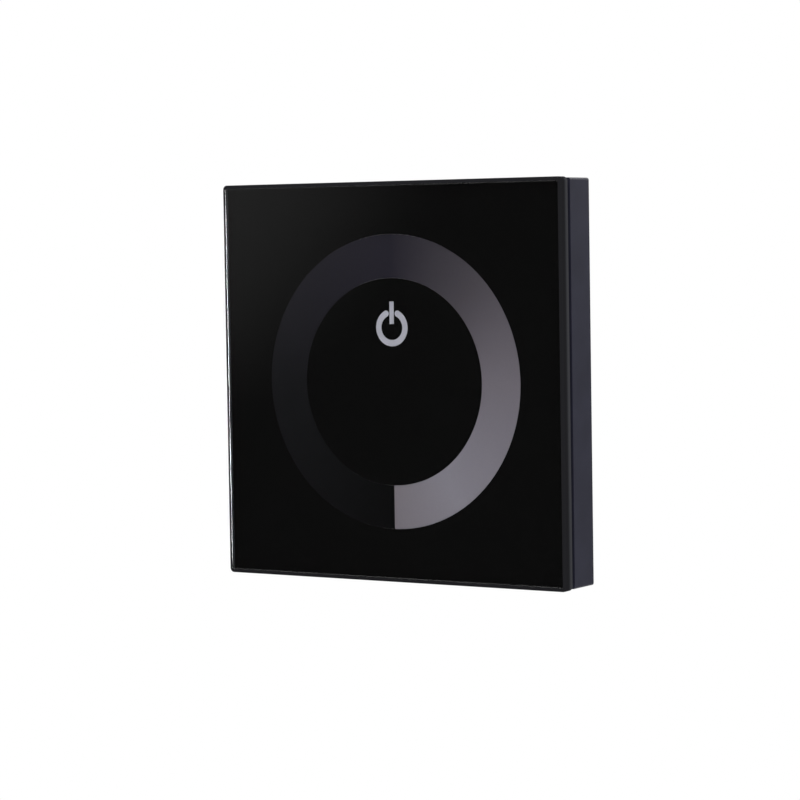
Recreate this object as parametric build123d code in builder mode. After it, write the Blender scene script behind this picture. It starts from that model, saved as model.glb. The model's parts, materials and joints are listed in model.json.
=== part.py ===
from build123d import *
import math
import os

# Touch panel dimmer for a standard 86 mm wall box, in millimetres.
# X runs right as seen from the room, Y into the wall and Z up. The origin is midway between the
# two wall screws, in the plane of the wall. "Out" is a distance from the wall into the room, so
# it is negative behind the wall's plane.

# Glass and its print
PANEL = 86.0
PANEL_DEPTH = 12.4
WALL_GAP = 0.2
GLASS_T = 3.0
GLASS_CORNER_R = 0.8
GLASS_ARRIS = 0.3
PRINT_T = 0.1
PRINT_MARGIN = 0.3
PRINT_CORNER_R = 0.5
PRINT_GAP = 0.02
RING_OUTER_R = 31.7
RING_INNER_R = 22.33
SYMBOL_RISE = 11.65
SYMBOL_R = 3.33
SYMBOL_STROKE = 1.35
SYMBOL_OPENING = 50.8
SYMBOL_BAR_W = 1.09
SYMBOL_BAR_TOP = 5.6
SYMBOL_BAR_BOTTOM = 0.8

# Front frame
FRAME_INSET = 0.2
FRAME_CORNER_R = 0.5
FRAME_STEP_IN = 1.0
FRAME_STEP_T = 0.8
FRAME_REAR_CHAMFER = 0.1
SKIRT_T = 1.8
WEB_T = 1.5
TAPE_T = 0.3
TAPE_INSET = 0.1
TAPE_TO_BOARD = 1.0
GUSSET_T = 1.0
GUSSET_RUN = 3.0
GUSSET_GAP = 0.8
GUSSET_SPACING = 24.0
GUSSETS_PER_SIDE = 3
PRY_NOTCH_W = 8.0
PRY_NOTCH_H = 1.2

# Touch board and what is on it
BOARD_MARGIN = 5.0
BOARD_CORNER_R = 1.0
BOARD_CLEARANCE = 0.2
TOUCH_BOARD_T = 1.2
PAD_T = 0.1
PAD_COUNT = 12
PAD_RING_INSET = 0.5
PAD_GAP = 0.8
PAD_SLANT = 35.0
SWITCH_PAD_R = 7.5
LED_LENS_R = 1.1
LED_LENS_GAP = 0.2
LED_BODY_W = 3.2
LED_BODY_L = 2.4
LED_BODY_T = 0.8
CHIP_Z = -10.0
CHIP_W = 5.3
CHIP_L = 8.2
CHIP_T = 1.75
CHIP_PINS_PER_SIDE = 12
CHIP_PITCH = 0.65
CHIP_STANDOFF = 0.1
CHIP_BEVEL = 0.2
LEAD_T = 0.2
LEAD_W = 0.25
LEAD_REACH = 1.05
LEAD_FOOT = 0.5
LEAD_SHOULDER = 0.3
PASSIVE_W = 1.6
PASSIVE_L = 0.8
PASSIVE_T = 0.6
PASSIVE_PITCH_X = 2.6
PASSIVE_PITCH_Z = 1.9
PASSIVE_OFFSET_X = 9.4
PASSIVE_ROWS = 6
WINDOW_MARGIN = 1.6

# Board to board connector
CONNECTOR_Z = 3.0
PIN_COUNT = 8
PIN_PITCH = 2.54
PIN_SIDE = 0.64
PIN_GAP = 0.1
PIN_ENGAGEMENT = 5.7
PIN_BEVEL = 0.15
HEADER_W = 2.5
HEADER_GAP = 0.26
SOCKET_H = 8.5
SOCKET_ROOF = 1.0
SOCKET_CELL_W = 1.7
SOCKET_CELL_L = 1.5
SOCKET_GAP = 0.3
CONTACT_LEAF_T = 0.2
CONTACT_LEAF_W = 1.2
CONTACT_BASE_T = 0.3
CONTACT_TAIL = 0.6
CONTACT_TAIL_OUT = 1.4
TAIL_HOLE_R = 0.5

# Snap hooks of the front and their slots
HOOK_W = 6.0
HOOK_T = 1.2
HOOK_NOSE = 0.8
HOOK_TIP_OUT = 0.9
HOOK_LAND = 0.4
HOOK_X = 20.0
HOOK_INSET = 6.6
HOOK_SIDE_GAP = 0.4
HOOK_NOSE_GAP = 0.3
HOOK_CATCH_GAP = 0.05

# Rear housing
FLANGE_CLEARANCE = 0.4
FLANGE_CORNER_R = 1.5
FLANGE_H = 4.0
SKIN_T = 1.6
RIM_T = 1.4
RIB_T = 1.2
RIB_X = 13.0
RIB_Z = 17.0
STOP_R = 2.0
STOP_GAP = 0.2
BOX_H = 56.0
BOX_WALL = 1.8
BOX_CORNER_R = 2.5
BOX_BACK_R = 1.2
CAVITY_CORNER_R = 0.8
LEDGE_T = 1.4
LEDGE_GAP = 0.2
VENT_COUNT = 7
VENT_W = 1.6
VENT_L = 14.0
VENT_PITCH = 4.2
VENT_Z = 5.0

# Wall screws
SCREW_SPACING = 60.3
SLOT_W = 4.2
SLOT_LENGTH = 8.0
HEAD_RECESS_W = 8.4
HEAD_RECESS_LENGTH = 11.6
SLOT_PAD_RIM = 1.9

# Board cover and self tapping screws
COVER_T = 1.4
COVER_REBATE = 1.0
COVER_CLEARANCE = 0.2
COVER_BOSS_R = 2.2
COVER_BOSS_MERGE = 0.4
COVER_SCREW_L = 8.0
SOUND_HOLE_R = 1.0
SCREW_R = 1.0
SCREW_FIT = 0.03
SCREW_HEAD_R = 1.9
SCREW_HEAD_T = 1.3
SCREW_HOLE_R = 1.2
SCREW_TIP = 0.5
DRIVE_SLOT_W = 0.6
DRIVE_SLOT_T = 0.6
BOARD_SCREW_L = 6.0
PILOT_SPARE = 0.6
BOSS_R = 2.3
BOSS_WEB = 0.46
BOSS_TO_WALL = 0.3
BOSS_INSET_Z = 4.2
BOSS_END_T = 1.0

# Main board and its parts
MAIN_BOARD_OUT = -3.4
MAIN_BOARD_T = 1.6
MAIN_BOARD_GAP = 0.3
MCU_X = -2.0
MCU_Z = -10.0
MCU_W = 4.4
MCU_L = 6.5
MCU_T = 1.2
MCU_PINS_PER_SIDE = 10
BUZZER_X = 12.0
BUZZER_Z = 14.0
BUZZER_R = 4.5
BUZZER_H = 5.4
BUZZER_HOLE_R = 0.9
BUZZER_HOLE_DEPTH = 1.5
REGULATOR_X = -12.0
REGULATOR_Z = 18.0
REGULATOR_W = 6.5
REGULATOR_L = 3.5
REGULATOR_T = 1.6
REGULATOR_LEADS = 3
REGULATOR_LEAD_PITCH = 2.3
REGULATOR_LEAD_W = 0.7
REGULATOR_LEAD_L = 1.6
REGULATOR_TAB_W = 3.0
CAPACITOR_X = -12.0
CAPACITOR_Z = 12.0
CAPACITOR_R = 5.0
CAPACITOR_H = 16.0
CAPACITOR_ROOM = 0.8
SMALL_CAPACITOR_X = 1.0
SMALL_CAPACITOR_Z = 13.5
SMALL_CAPACITOR_R = 4.0
SMALL_CAPACITOR_H = 12.0
CAPACITOR_EDGE = 0.5
CAPACITOR_GROOVE = 0.5
CAPACITOR_LEG_R = 0.3
CAPACITOR_LEG_OUT = 1.2
CAPACITOR_LEG_HOLE_R = 0.45
INDUCTOR_X = 13.0
INDUCTOR_Z = 10.5
INDUCTOR_SIDE = 8.0
INDUCTOR_H = 5.0
INDUCTOR_BASE_T = 0.8
INDUCTOR_CORE_R = 3.7
MOSFET_COUNT = 3
MOSFET_PITCH = 11.0
MOSFET_TO_WALL = 0.85
MOSFET_W = 6.6
MOSFET_L = 6.1
MOSFET_T = 2.3
MOSFET_BEVEL = 0.3
MOSFET_TAB_W = 5.2
MOSFET_TAB_L = 1.1
MOSFET_LEAD_T = 0.5
MOSFET_LEAD_W = 0.8
MOSFET_LEAD_L = 2.7
MOSFET_LEAD_X = 2.28
BOARD_PASSIVE_X = 9.0
BOARD_PASSIVE_Z = -9.0
BOARD_PASSIVE_COLUMNS = 2
BOARD_PASSIVE_ROWS = 5

# Screw terminals with rising cages, heights counted from the main board
POLE_PITCH = 5.08
INPUT_POLES = 2
OUTPUT_POLES = 4
TERMINAL_END_WALL = 0.4
TERMINAL_SPACING = 1.0
TERMINAL_SHOULDER_H = 8.4
TERMINAL_SLOPE_L = 2.2
TERMINAL_EDGE = 1.6
TERMINAL_CLEARANCE = 0.3
TERMINAL_BACK_GAP = 1.6
TERMINAL_ROOF_T = 0.8
TERMINAL_REAR_WALL = 1.9
CAGE_W = 4.0
CAGE_L = 4.0
CAGE_SIDE_T = 0.7
CAGE_FLOOR_T = 0.8
CAGE_TOP_T = 1.0
CAGE_CORNER_R = 0.5
CAGE_GAP = 0.1
CAGE_END_GAP = 0.2
CAGE_START_H = 1.0
CAGE_TOOTH = 0.3
CAGE_TEETH = 3
CAGE_TRAVEL = 2.4
WIRE_ROOM = 3.0
ENTRY_WALL_T = 1.6
ENTRY_W = 3.2
ENTRY_H = 3.4
ENTRY_CORNER_R = 0.5
ENTRY_FUNNEL = 0.5
CONTACT_T = 0.8
CONTACT_FIT = 0.05
CONTACT_NOTCH = 0.8
CONTACT_BRIDGE = 1.3
CONTACT_PIN_W = 1.0
CONTACT_PIN_OUT = 1.4
CONTACT_PIN_HOLE_R = 0.75
CONTACT_CAGE_GAP = 0.2
CLAMP_SCREW_R = 1.25
CLAMP_SCREW_FIT = 0.05
CLAMP_TIP_GAP = 0.05
CLAMP_HEAD_R = 1.95
CLAMP_HEAD_T = 1.6
CLAMP_HEAD_GAP = 0.2
CLAMP_SLOT_W = 0.7
CLAMP_SLOT_T = 0.9
CLAMP_CHAMFER = 0.2
ACCESS_HOLE_R = 1.6

# Levels out of the wall, from the glass to the back of the box
GLASS_FRONT = WALL_GAP + PANEL_DEPTH
GLASS_BACK = GLASS_FRONT - GLASS_T
PRINT_BACK = GLASS_BACK - PRINT_T
FRAME_FRONT = PRINT_BACK - TAPE_T
TOUCH_BOARD_FRONT = FRAME_FRONT - PAD_T
TOUCH_BOARD_BACK = TOUCH_BOARD_FRONT - TOUCH_BOARD_T
WEB_BACK = TOUCH_BOARD_BACK - WEB_T
SKIN_BACK = FLANGE_H - SKIN_T
COVER_BACK = FLANGE_H - COVER_T
SOCKET_TOP = MAIN_BOARD_OUT + SOCKET_H
MAIN_BOARD_BACK = MAIN_BOARD_OUT - MAIN_BOARD_T
LEDGE_FRONT = MAIN_BOARD_BACK - LEDGE_GAP
LEDGE_BACK = LEDGE_FRONT - LEDGE_T
CAVITY_BACK = MAIN_BOARD_BACK - CAPACITOR_H - CAPACITOR_ROOM
BOX_BACK = CAVITY_BACK - BOX_WALL

# Outlines of the front
FRAME = PANEL - 2 * FRAME_INSET
FRAME_LAND = FRAME - 2 * FRAME_STEP_IN
SKIRT_INNER = FRAME - 2 * SKIRT_T
FLANGE = SKIRT_INNER - 2 * FLANGE_CLEARANCE
TOUCH_BOARD = PANEL - 2 * BOARD_MARGIN
HOOK_Z = FLANGE / 2 - HOOK_INSET
CONNECTOR_L = PIN_COUNT * PIN_PITCH
BOARD_PILOT_L = BOARD_SCREW_L - MAIN_BOARD_T + PILOT_SPARE
COVER_PILOT_L = COVER_SCREW_L - COVER_T + PILOT_SPARE
CAPACITORS = (
    (CAPACITOR_X, CAPACITOR_Z, CAPACITOR_R, CAPACITOR_H),
    (SMALL_CAPACITOR_X, SMALL_CAPACITOR_Z, SMALL_CAPACITOR_R, SMALL_CAPACITOR_H),
)
CAPACITOR_LEG_PLACES = [(x + side * can_r / 2, z) for x, z, can_r, _ in CAPACITORS for side in (-1, 1)]

# Terminals, from one side of the box to the other
TERMINAL_POLES = (INPUT_POLES, OUTPUT_POLES)
TERMINAL_WIDTHS = [poles * POLE_PITCH + 2 * TERMINAL_END_WALL for poles in TERMINAL_POLES]
TERMINALS_W = sum(TERMINAL_WIDTHS) + TERMINAL_SPACING
TERMINAL_LEFTS = (-TERMINALS_W / 2, TERMINALS_W / 2 - TERMINAL_WIDTHS[1])
TERMINAL_ENTRY_Z = -(BOX_H / 2 - BOX_WALL - TERMINAL_EDGE)
CAGE_POCKET_L = CAGE_L + 2 * CAGE_END_GAP
CONTACT_LEG_L = ENTRY_WALL_T + CAGE_POCKET_L + CONTACT_BRIDGE
TERMINAL_L = CONTACT_LEG_L + CONTACT_T + TERMINAL_REAR_WALL
CONTACT_W = CAGE_W - 2 * (CAGE_SIDE_T + CONTACT_CAGE_GAP)
CLAMP_Z = TERMINAL_ENTRY_Z + ENTRY_WALL_T + CAGE_END_GAP + CAGE_L / 2
CONTACT_H = CAGE_START_H + CAGE_FLOOR_T + WIRE_ROOM
CONTACT_TOP_H = CONTACT_H + CONTACT_T
CAGE_H = CAGE_FLOOR_T + WIRE_ROOM + CONTACT_T + CONTACT_CAGE_GAP + CAGE_TOP_T
HEAD_BOTTOM_H = CAGE_START_H + CAGE_H + CAGE_TRAVEL + CLAMP_HEAD_GAP
TERMINAL_H = HEAD_BOTTOM_H + CLAMP_HEAD_T + CLAMP_HEAD_GAP + TERMINAL_ROOF_T

# Outlines of the rear
CAVITY_W = TERMINALS_W + 2 * (TERMINAL_CLEARANCE + BOSS_WEB + 2 * BOSS_R + BOSS_TO_WALL)
CAVITY_H = BOX_H - 2 * BOX_WALL
BOX_W = CAVITY_W + 2 * BOX_WALL
STEP_Z = TERMINAL_ENTRY_Z + TERMINAL_L + TERMINAL_BACK_GAP
MOSFET_Z = STEP_Z + BOX_WALL + MOSFET_TO_WALL + MOSFET_LEAD_L + MOSFET_L / 2
COVER_BOSS_X = CAVITY_W / 2 - COVER_BOSS_R + COVER_BOSS_MERGE
BOARD_SCREW_X = CAVITY_W / 2 - BOSS_TO_WALL - BOSS_R
BOARD_SCREW_Z = CAVITY_H / 2 - BOSS_INSET_Z
STOP_XZ = FLANGE / 2 - HOOK_INSET
SLOT_PLACES = [(-SCREW_SPACING / 2, 0), (SCREW_SPACING / 2, 0)]
COVER_SCREW_PLACES = [(-COVER_BOSS_X, 0), (COVER_BOSS_X, 0)]
BOARD_SCREW_PLACES = [
    (side * BOARD_SCREW_X, level * BOARD_SCREW_Z) for side in (-1, 1) for level in (-1, 1)
]


def wall_plane(out):
    """Plane parallel to the wall and seen from the room: its own x is X and its own y is Z."""
    return Plane.XZ.offset(out)


def behind_board(height):
    """Wall plane at a height above the back of the main board, which faces into the wall box."""
    return wall_plane(MAIN_BOARD_BACK - height)


def on_wall_plane(out, places):
    """Locations at the given X and Z on a wall plane, for features drilled into the wall's side."""
    return [wall_plane(out) * Location((x, z, 0)) for x, z in places]


def pole_places(block):
    """X of each pole of one terminal block."""
    first = TERMINAL_LEFTS[block] + TERMINAL_END_WALL + POLE_PITCH / 2
    return [first + pole * POLE_PITCH for pole in range(TERMINAL_POLES[block])]


POLES = pole_places(0) + pole_places(1)


# Glass panel: flat glass with small ground edges
with BuildPart() as glass_panel:
    with BuildSketch(wall_plane(GLASS_BACK)):
        RectangleRounded(PANEL, PANEL, GLASS_CORNER_R)
    extrude(amount=GLASS_T)
    chamfer(glass_panel.faces().filter_by(Axis.Y).edges(), GLASS_ARRIS)
glass_panel.part.label = "glass_panel"


def symbol_outline(grow):
    """Power symbol about its own centre, an open circle and a bar, larger by grow all round."""
    with BuildSketch() as symbol:
        with BuildLine() as arc:
            CenterArc((0, 0), SYMBOL_R, 90 + SYMBOL_OPENING / 2, 360 - SYMBOL_OPENING)
        SlotArc(arc.edges()[0], SYMBOL_STROKE + 2 * grow)
        with Locations((0, SYMBOL_BAR_BOTTOM - grow)):
            bar_l = SYMBOL_BAR_TOP - SYMBOL_BAR_BOTTOM
            Rectangle(SYMBOL_BAR_W + 2 * grow, bar_l + 2 * grow, align=(Align.CENTER, Align.MIN))
    return symbol.sketch


def ring_outline(grow):
    """Brightness ring, wider by grow at both edges."""
    with BuildSketch() as ring:
        Circle(RING_OUTER_R + grow)
        Circle(RING_INNER_R - grow, mode=Mode.SUBTRACT)
    return ring.sketch


# Prints behind the glass: symbol, ring, and the black mask with a window for each of the two
with BuildPart() as power_symbol:
    with BuildSketch(wall_plane(PRINT_BACK)):
        with Locations((0, SYMBOL_RISE)):
            add(symbol_outline(0))
    extrude(amount=PRINT_T)
power_symbol.part.label = "power_symbol"

with BuildPart() as brightness_ring:
    with BuildSketch(wall_plane(PRINT_BACK)):
        add(ring_outline(0))
    extrude(amount=PRINT_T)
brightness_ring.part.label = "brightness_ring"

with BuildPart() as ink_mask:
    with BuildSketch(wall_plane(PRINT_BACK)):
        RectangleRounded(PANEL - 2 * PRINT_MARGIN, PANEL - 2 * PRINT_MARGIN, PRINT_CORNER_R)
        add(ring_outline(PRINT_GAP), mode=Mode.SUBTRACT)
        with Locations((0, SYMBOL_RISE)):
            add(symbol_outline(PRINT_GAP), mode=Mode.SUBTRACT)
    extrude(amount=PRINT_T)
ink_mask.part.label = "ink_mask"


# Diffuser film over the board, and the adhesive foam round it that holds the glass on the frame
with BuildPart() as diffuser_sheet:
    with BuildSketch(wall_plane(FRAME_FRONT)):
        RectangleRounded(TOUCH_BOARD, TOUCH_BOARD, BOARD_CORNER_R)
    extrude(amount=TAPE_T)
diffuser_sheet.part.label = "diffuser_sheet"

with BuildPart() as glass_tape:
    with BuildSketch(wall_plane(FRAME_FRONT)):
        tape_outer = FRAME_LAND - 2 * TAPE_INSET
        tape_inner = TOUCH_BOARD + 2 * TAPE_TO_BOARD
        Rectangle(tape_outer, tape_outer)
        Rectangle(tape_inner, tape_inner, mode=Mode.SUBTRACT)
    extrude(amount=TAPE_T)
glass_tape.part.label = "glass_tape"


# Touch board, its electrodes, and the lamp that shines through it behind the power symbol
with BuildPart() as touch_board:
    with BuildSketch(wall_plane(TOUCH_BOARD_BACK)):
        RectangleRounded(TOUCH_BOARD, TOUCH_BOARD, BOARD_CORNER_R)
        with Locations((0, SYMBOL_RISE)):
            Circle(LED_LENS_R + LED_LENS_GAP, mode=Mode.SUBTRACT)
    extrude(amount=TOUCH_BOARD_T)
touch_board.part.label = "touch_board"

with BuildPart() as touch_pads:
    with BuildSketch(wall_plane(TOUCH_BOARD_FRONT)):
        pads_outer_r = RING_OUTER_R - PAD_RING_INSET
        pads_inner_r = RING_INNER_R + PAD_RING_INSET
        Circle(pads_outer_r)
        Circle(pads_inner_r, mode=Mode.SUBTRACT)
        with PolarLocations((pads_outer_r + pads_inner_r) / 2, PAD_COUNT):
            Rectangle(2 * (pads_outer_r - pads_inner_r), PAD_GAP, rotation=PAD_SLANT, mode=Mode.SUBTRACT)
        with Locations((0, SYMBOL_RISE)):
            Circle(SWITCH_PAD_R)
            Circle(LED_LENS_R + LED_LENS_GAP, mode=Mode.SUBTRACT)
    extrude(amount=PAD_T)
touch_pads.part.label = "touch_pads"

with BuildPart() as indicator_led:
    with BuildSketch(wall_plane(TOUCH_BOARD_BACK)):
        with Locations((0, SYMBOL_RISE)):
            Rectangle(LED_BODY_W, LED_BODY_L)
    extrude(amount=-LED_BODY_T)
    with BuildSketch(wall_plane(TOUCH_BOARD_BACK)):
        with Locations((0, SYMBOL_RISE)):
            Circle(LED_LENS_R)
    extrude(amount=TOUCH_BOARD_T)
    chamfer(indicator_led.faces().sort_by(Axis.Y)[0].edges(), LED_LENS_R / 2)
indicator_led.part.label = "indicator_led"


def gull_wing_chip(board_out, side, center, width, length, height, pins):
    """Moulded chip on a board: side is 1 where it faces the room and -1 where it faces the wall."""
    x, z = center
    shoulder_h = height / 2
    shoulder_x = x + width / 2 + LEAD_SHOULDER
    foot_end_x = x + width / 2 + LEAD_REACH
    foot_start_x = foot_end_x - LEAD_FOOT
    lead_levels = [z + (pin - (pins - 1) / 2) * CHIP_PITCH for pin in range(pins)]

    def lead_point(point_x, h):
        return (point_x, -(board_out + side * h))

    with BuildPart() as chip:
        with BuildSketch(wall_plane(board_out + side * CHIP_STANDOFF)):
            with Locations(center):
                Rectangle(width, length)
        extrude(amount=side * (height - CHIP_STANDOFF))
        top = chip.faces().filter_by(Axis.Y).sort_by(Axis.Y)[0 if side > 0 else -1]
        chamfer(top.edges(), CHIP_BEVEL)
        with BuildSketch(*[Plane.XY.offset(level) for level in lead_levels]):
            with BuildLine():
                Polyline(
                    lead_point(x, shoulder_h + LEAD_T / 2),
                    lead_point(shoulder_x, shoulder_h + LEAD_T / 2),
                    lead_point(foot_start_x, LEAD_T),
                    lead_point(foot_end_x, LEAD_T),
                    lead_point(foot_end_x, 0),
                    lead_point(foot_start_x - LEAD_T / 2, 0),
                    lead_point(shoulder_x - LEAD_T / 2, shoulder_h - LEAD_T / 2),
                    lead_point(x, shoulder_h - LEAD_T / 2),
                    close=True,
                )
            make_face()
        extrude(amount=LEAD_W / 2, both=True)
        mirror(about=Plane.YZ.offset(x))
    return chip


touch_chip = gull_wing_chip(TOUCH_BOARD_BACK, -1, (0, CHIP_Z), CHIP_W, CHIP_L, CHIP_T, CHIP_PINS_PER_SIDE)
touch_chip.part.label = "touch_chip"

with BuildPart() as touch_passives:
    with BuildSketch(wall_plane(TOUCH_BOARD_BACK)):
        with Locations((-PASSIVE_OFFSET_X, CHIP_Z), (PASSIVE_OFFSET_X, CHIP_Z)):
            with GridLocations(PASSIVE_PITCH_X, PASSIVE_PITCH_Z, 2, PASSIVE_ROWS):
                Rectangle(PASSIVE_W, PASSIVE_L)
    extrude(amount=-PASSIVE_T)
touch_passives.part.label = "touch_passives"


# Plug of the board to board connector: an insulator bar and square pins
with BuildPart() as header_insulator:
    insulator_h = TOUCH_BOARD_BACK - SOCKET_TOP - HEADER_GAP
    with BuildSketch(wall_plane(TOUCH_BOARD_BACK)):
        with Locations((0, CONNECTOR_Z)):
            Rectangle(CONNECTOR_L, HEADER_W)
            with GridLocations(PIN_PITCH, 0, PIN_COUNT, 1):
                Rectangle(PIN_SIDE, PIN_SIDE, mode=Mode.SUBTRACT)
    extrude(amount=-insulator_h)
    chamfer(header_insulator.faces().sort_by(Axis.Y)[-1].outer_wire().edges(), PIN_BEVEL)
header_insulator.part.label = "header_insulator"

with BuildPart() as header_pins:
    with BuildSketch(wall_plane(TOUCH_BOARD_BACK)):
        with Locations((0, CONNECTOR_Z)):
            with GridLocations(PIN_PITCH, 0, PIN_COUNT, 1):
                Rectangle(PIN_SIDE, PIN_SIDE)
    extrude(amount=-(TOUCH_BOARD_BACK - SOCKET_TOP + PIN_ENGAGEMENT))
    chamfer(header_pins.faces().group_by(Axis.Y)[-1].edges(), PIN_BEVEL)
header_pins.part.label = "header_pins"


# Front frame: skirt, web behind the touch board, windows for its parts, gussets and a pry notch
with BuildPart() as front_frame:
    with BuildSketch(wall_plane(WALL_GAP)):
        RectangleRounded(FRAME, FRAME, FRAME_CORNER_R)
    extrude(amount=FRAME_FRONT - WALL_GAP)
    chamfer(front_frame.faces().sort_by(Axis.Y)[-1].edges(), FRAME_REAR_CHAMFER)
    with BuildSketch(wall_plane(FRAME_FRONT - FRAME_STEP_T)):
        Rectangle(FRAME, FRAME)
        RectangleRounded(FRAME_LAND, FRAME_LAND, FRAME_CORNER_R, mode=Mode.SUBTRACT)
    extrude(amount=FRAME_STEP_T, mode=Mode.SUBTRACT)
    with BuildSketch(wall_plane(WALL_GAP)):
        Rectangle(SKIRT_INNER, SKIRT_INNER)
    extrude(amount=WEB_BACK - WALL_GAP, mode=Mode.SUBTRACT)
    gusset_rise = WEB_BACK - FLANGE_H - GUSSET_GAP
    gusset_levels = [(i - (GUSSETS_PER_SIDE - 1) / 2) * GUSSET_SPACING for i in range(GUSSETS_PER_SIDE)]
    with BuildSketch(*[Plane.YZ.offset(level) for level in gusset_levels]):
        with BuildLine():
            Polyline(
                (-WEB_BACK, SKIRT_INNER / 2),
                (-WEB_BACK, SKIRT_INNER / 2 - GUSSET_RUN),
                (gusset_rise - WEB_BACK, SKIRT_INNER / 2),
                close=True,
            )
        make_face()
    extrude(amount=GUSSET_T / 2, both=True)
    with BuildSketch(*[Plane.XY.offset(level) for level in gusset_levels]):
        with BuildLine():
            Polyline(
                (SKIRT_INNER / 2, -WEB_BACK),
                (SKIRT_INNER / 2 - GUSSET_RUN, -WEB_BACK),
                (SKIRT_INNER / 2, gusset_rise - WEB_BACK),
                close=True,
            )
        make_face()
    extrude(amount=GUSSET_T / 2, both=True)
    mirror(about=Plane.XY)
    mirror(about=Plane.YZ)
    with BuildSketch(wall_plane(TOUCH_BOARD_BACK)):
        pocket = TOUCH_BOARD + 2 * BOARD_CLEARANCE
        RectangleRounded(pocket, pocket, BOARD_CORNER_R)
    extrude(amount=FRAME_FRONT - TOUCH_BOARD_BACK, mode=Mode.SUBTRACT)
    with BuildSketch(wall_plane(WEB_BACK)):
        with Locations((0, CONNECTOR_Z)):
            Rectangle(CONNECTOR_L + WINDOW_MARGIN, HEADER_W + WINDOW_MARGIN)
        with Locations((0, CHIP_Z)):
            passives_w = 2 * PASSIVE_OFFSET_X + PASSIVE_PITCH_X + PASSIVE_W
            passives_l = PASSIVE_PITCH_Z * PASSIVE_ROWS
            RectangleRounded(passives_w + WINDOW_MARGIN, passives_l + WINDOW_MARGIN, BOARD_CORNER_R)
        with Locations((0, SYMBOL_RISE)):
            Rectangle(LED_BODY_W + WINDOW_MARGIN, LED_BODY_L + WINDOW_MARGIN)
    extrude(amount=WEB_T, mode=Mode.SUBTRACT)
    with BuildSketch(wall_plane(WALL_GAP)):
        with Locations((0, SKIRT_T / 2 - FRAME / 2)):
            Rectangle(PRY_NOTCH_W, SKIRT_T)
    extrude(amount=PRY_NOTCH_H, mode=Mode.SUBTRACT)
front_frame.part.label = "front_frame"


# Snap hooks: four sprung arms under the web, each with a nose that catches behind the flange's skin
with BuildPart() as snap_hooks:
    with BuildSketch(Plane.YZ.offset(HOOK_X)):
        with BuildLine():
            catch_out = SKIN_BACK - HOOK_CATCH_GAP
            Polyline(
                (-WEB_BACK, HOOK_Z - HOOK_T / 2),
                (-WEB_BACK, HOOK_Z + HOOK_T / 2),
                (-catch_out, HOOK_Z + HOOK_T / 2),
                (-catch_out, HOOK_Z + HOOK_T / 2 + HOOK_NOSE),
                (HOOK_LAND - catch_out, HOOK_Z + HOOK_T / 2 + HOOK_NOSE),
                (-HOOK_TIP_OUT, HOOK_Z),
                (-HOOK_TIP_OUT, HOOK_Z - HOOK_T / 2),
                close=True,
            )
        make_face()
    extrude(amount=HOOK_W / 2, both=True)
    mirror(about=Plane.XY)
    mirror(about=Plane.YZ)
snap_hooks.part.label = "snap_hooks"


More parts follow.
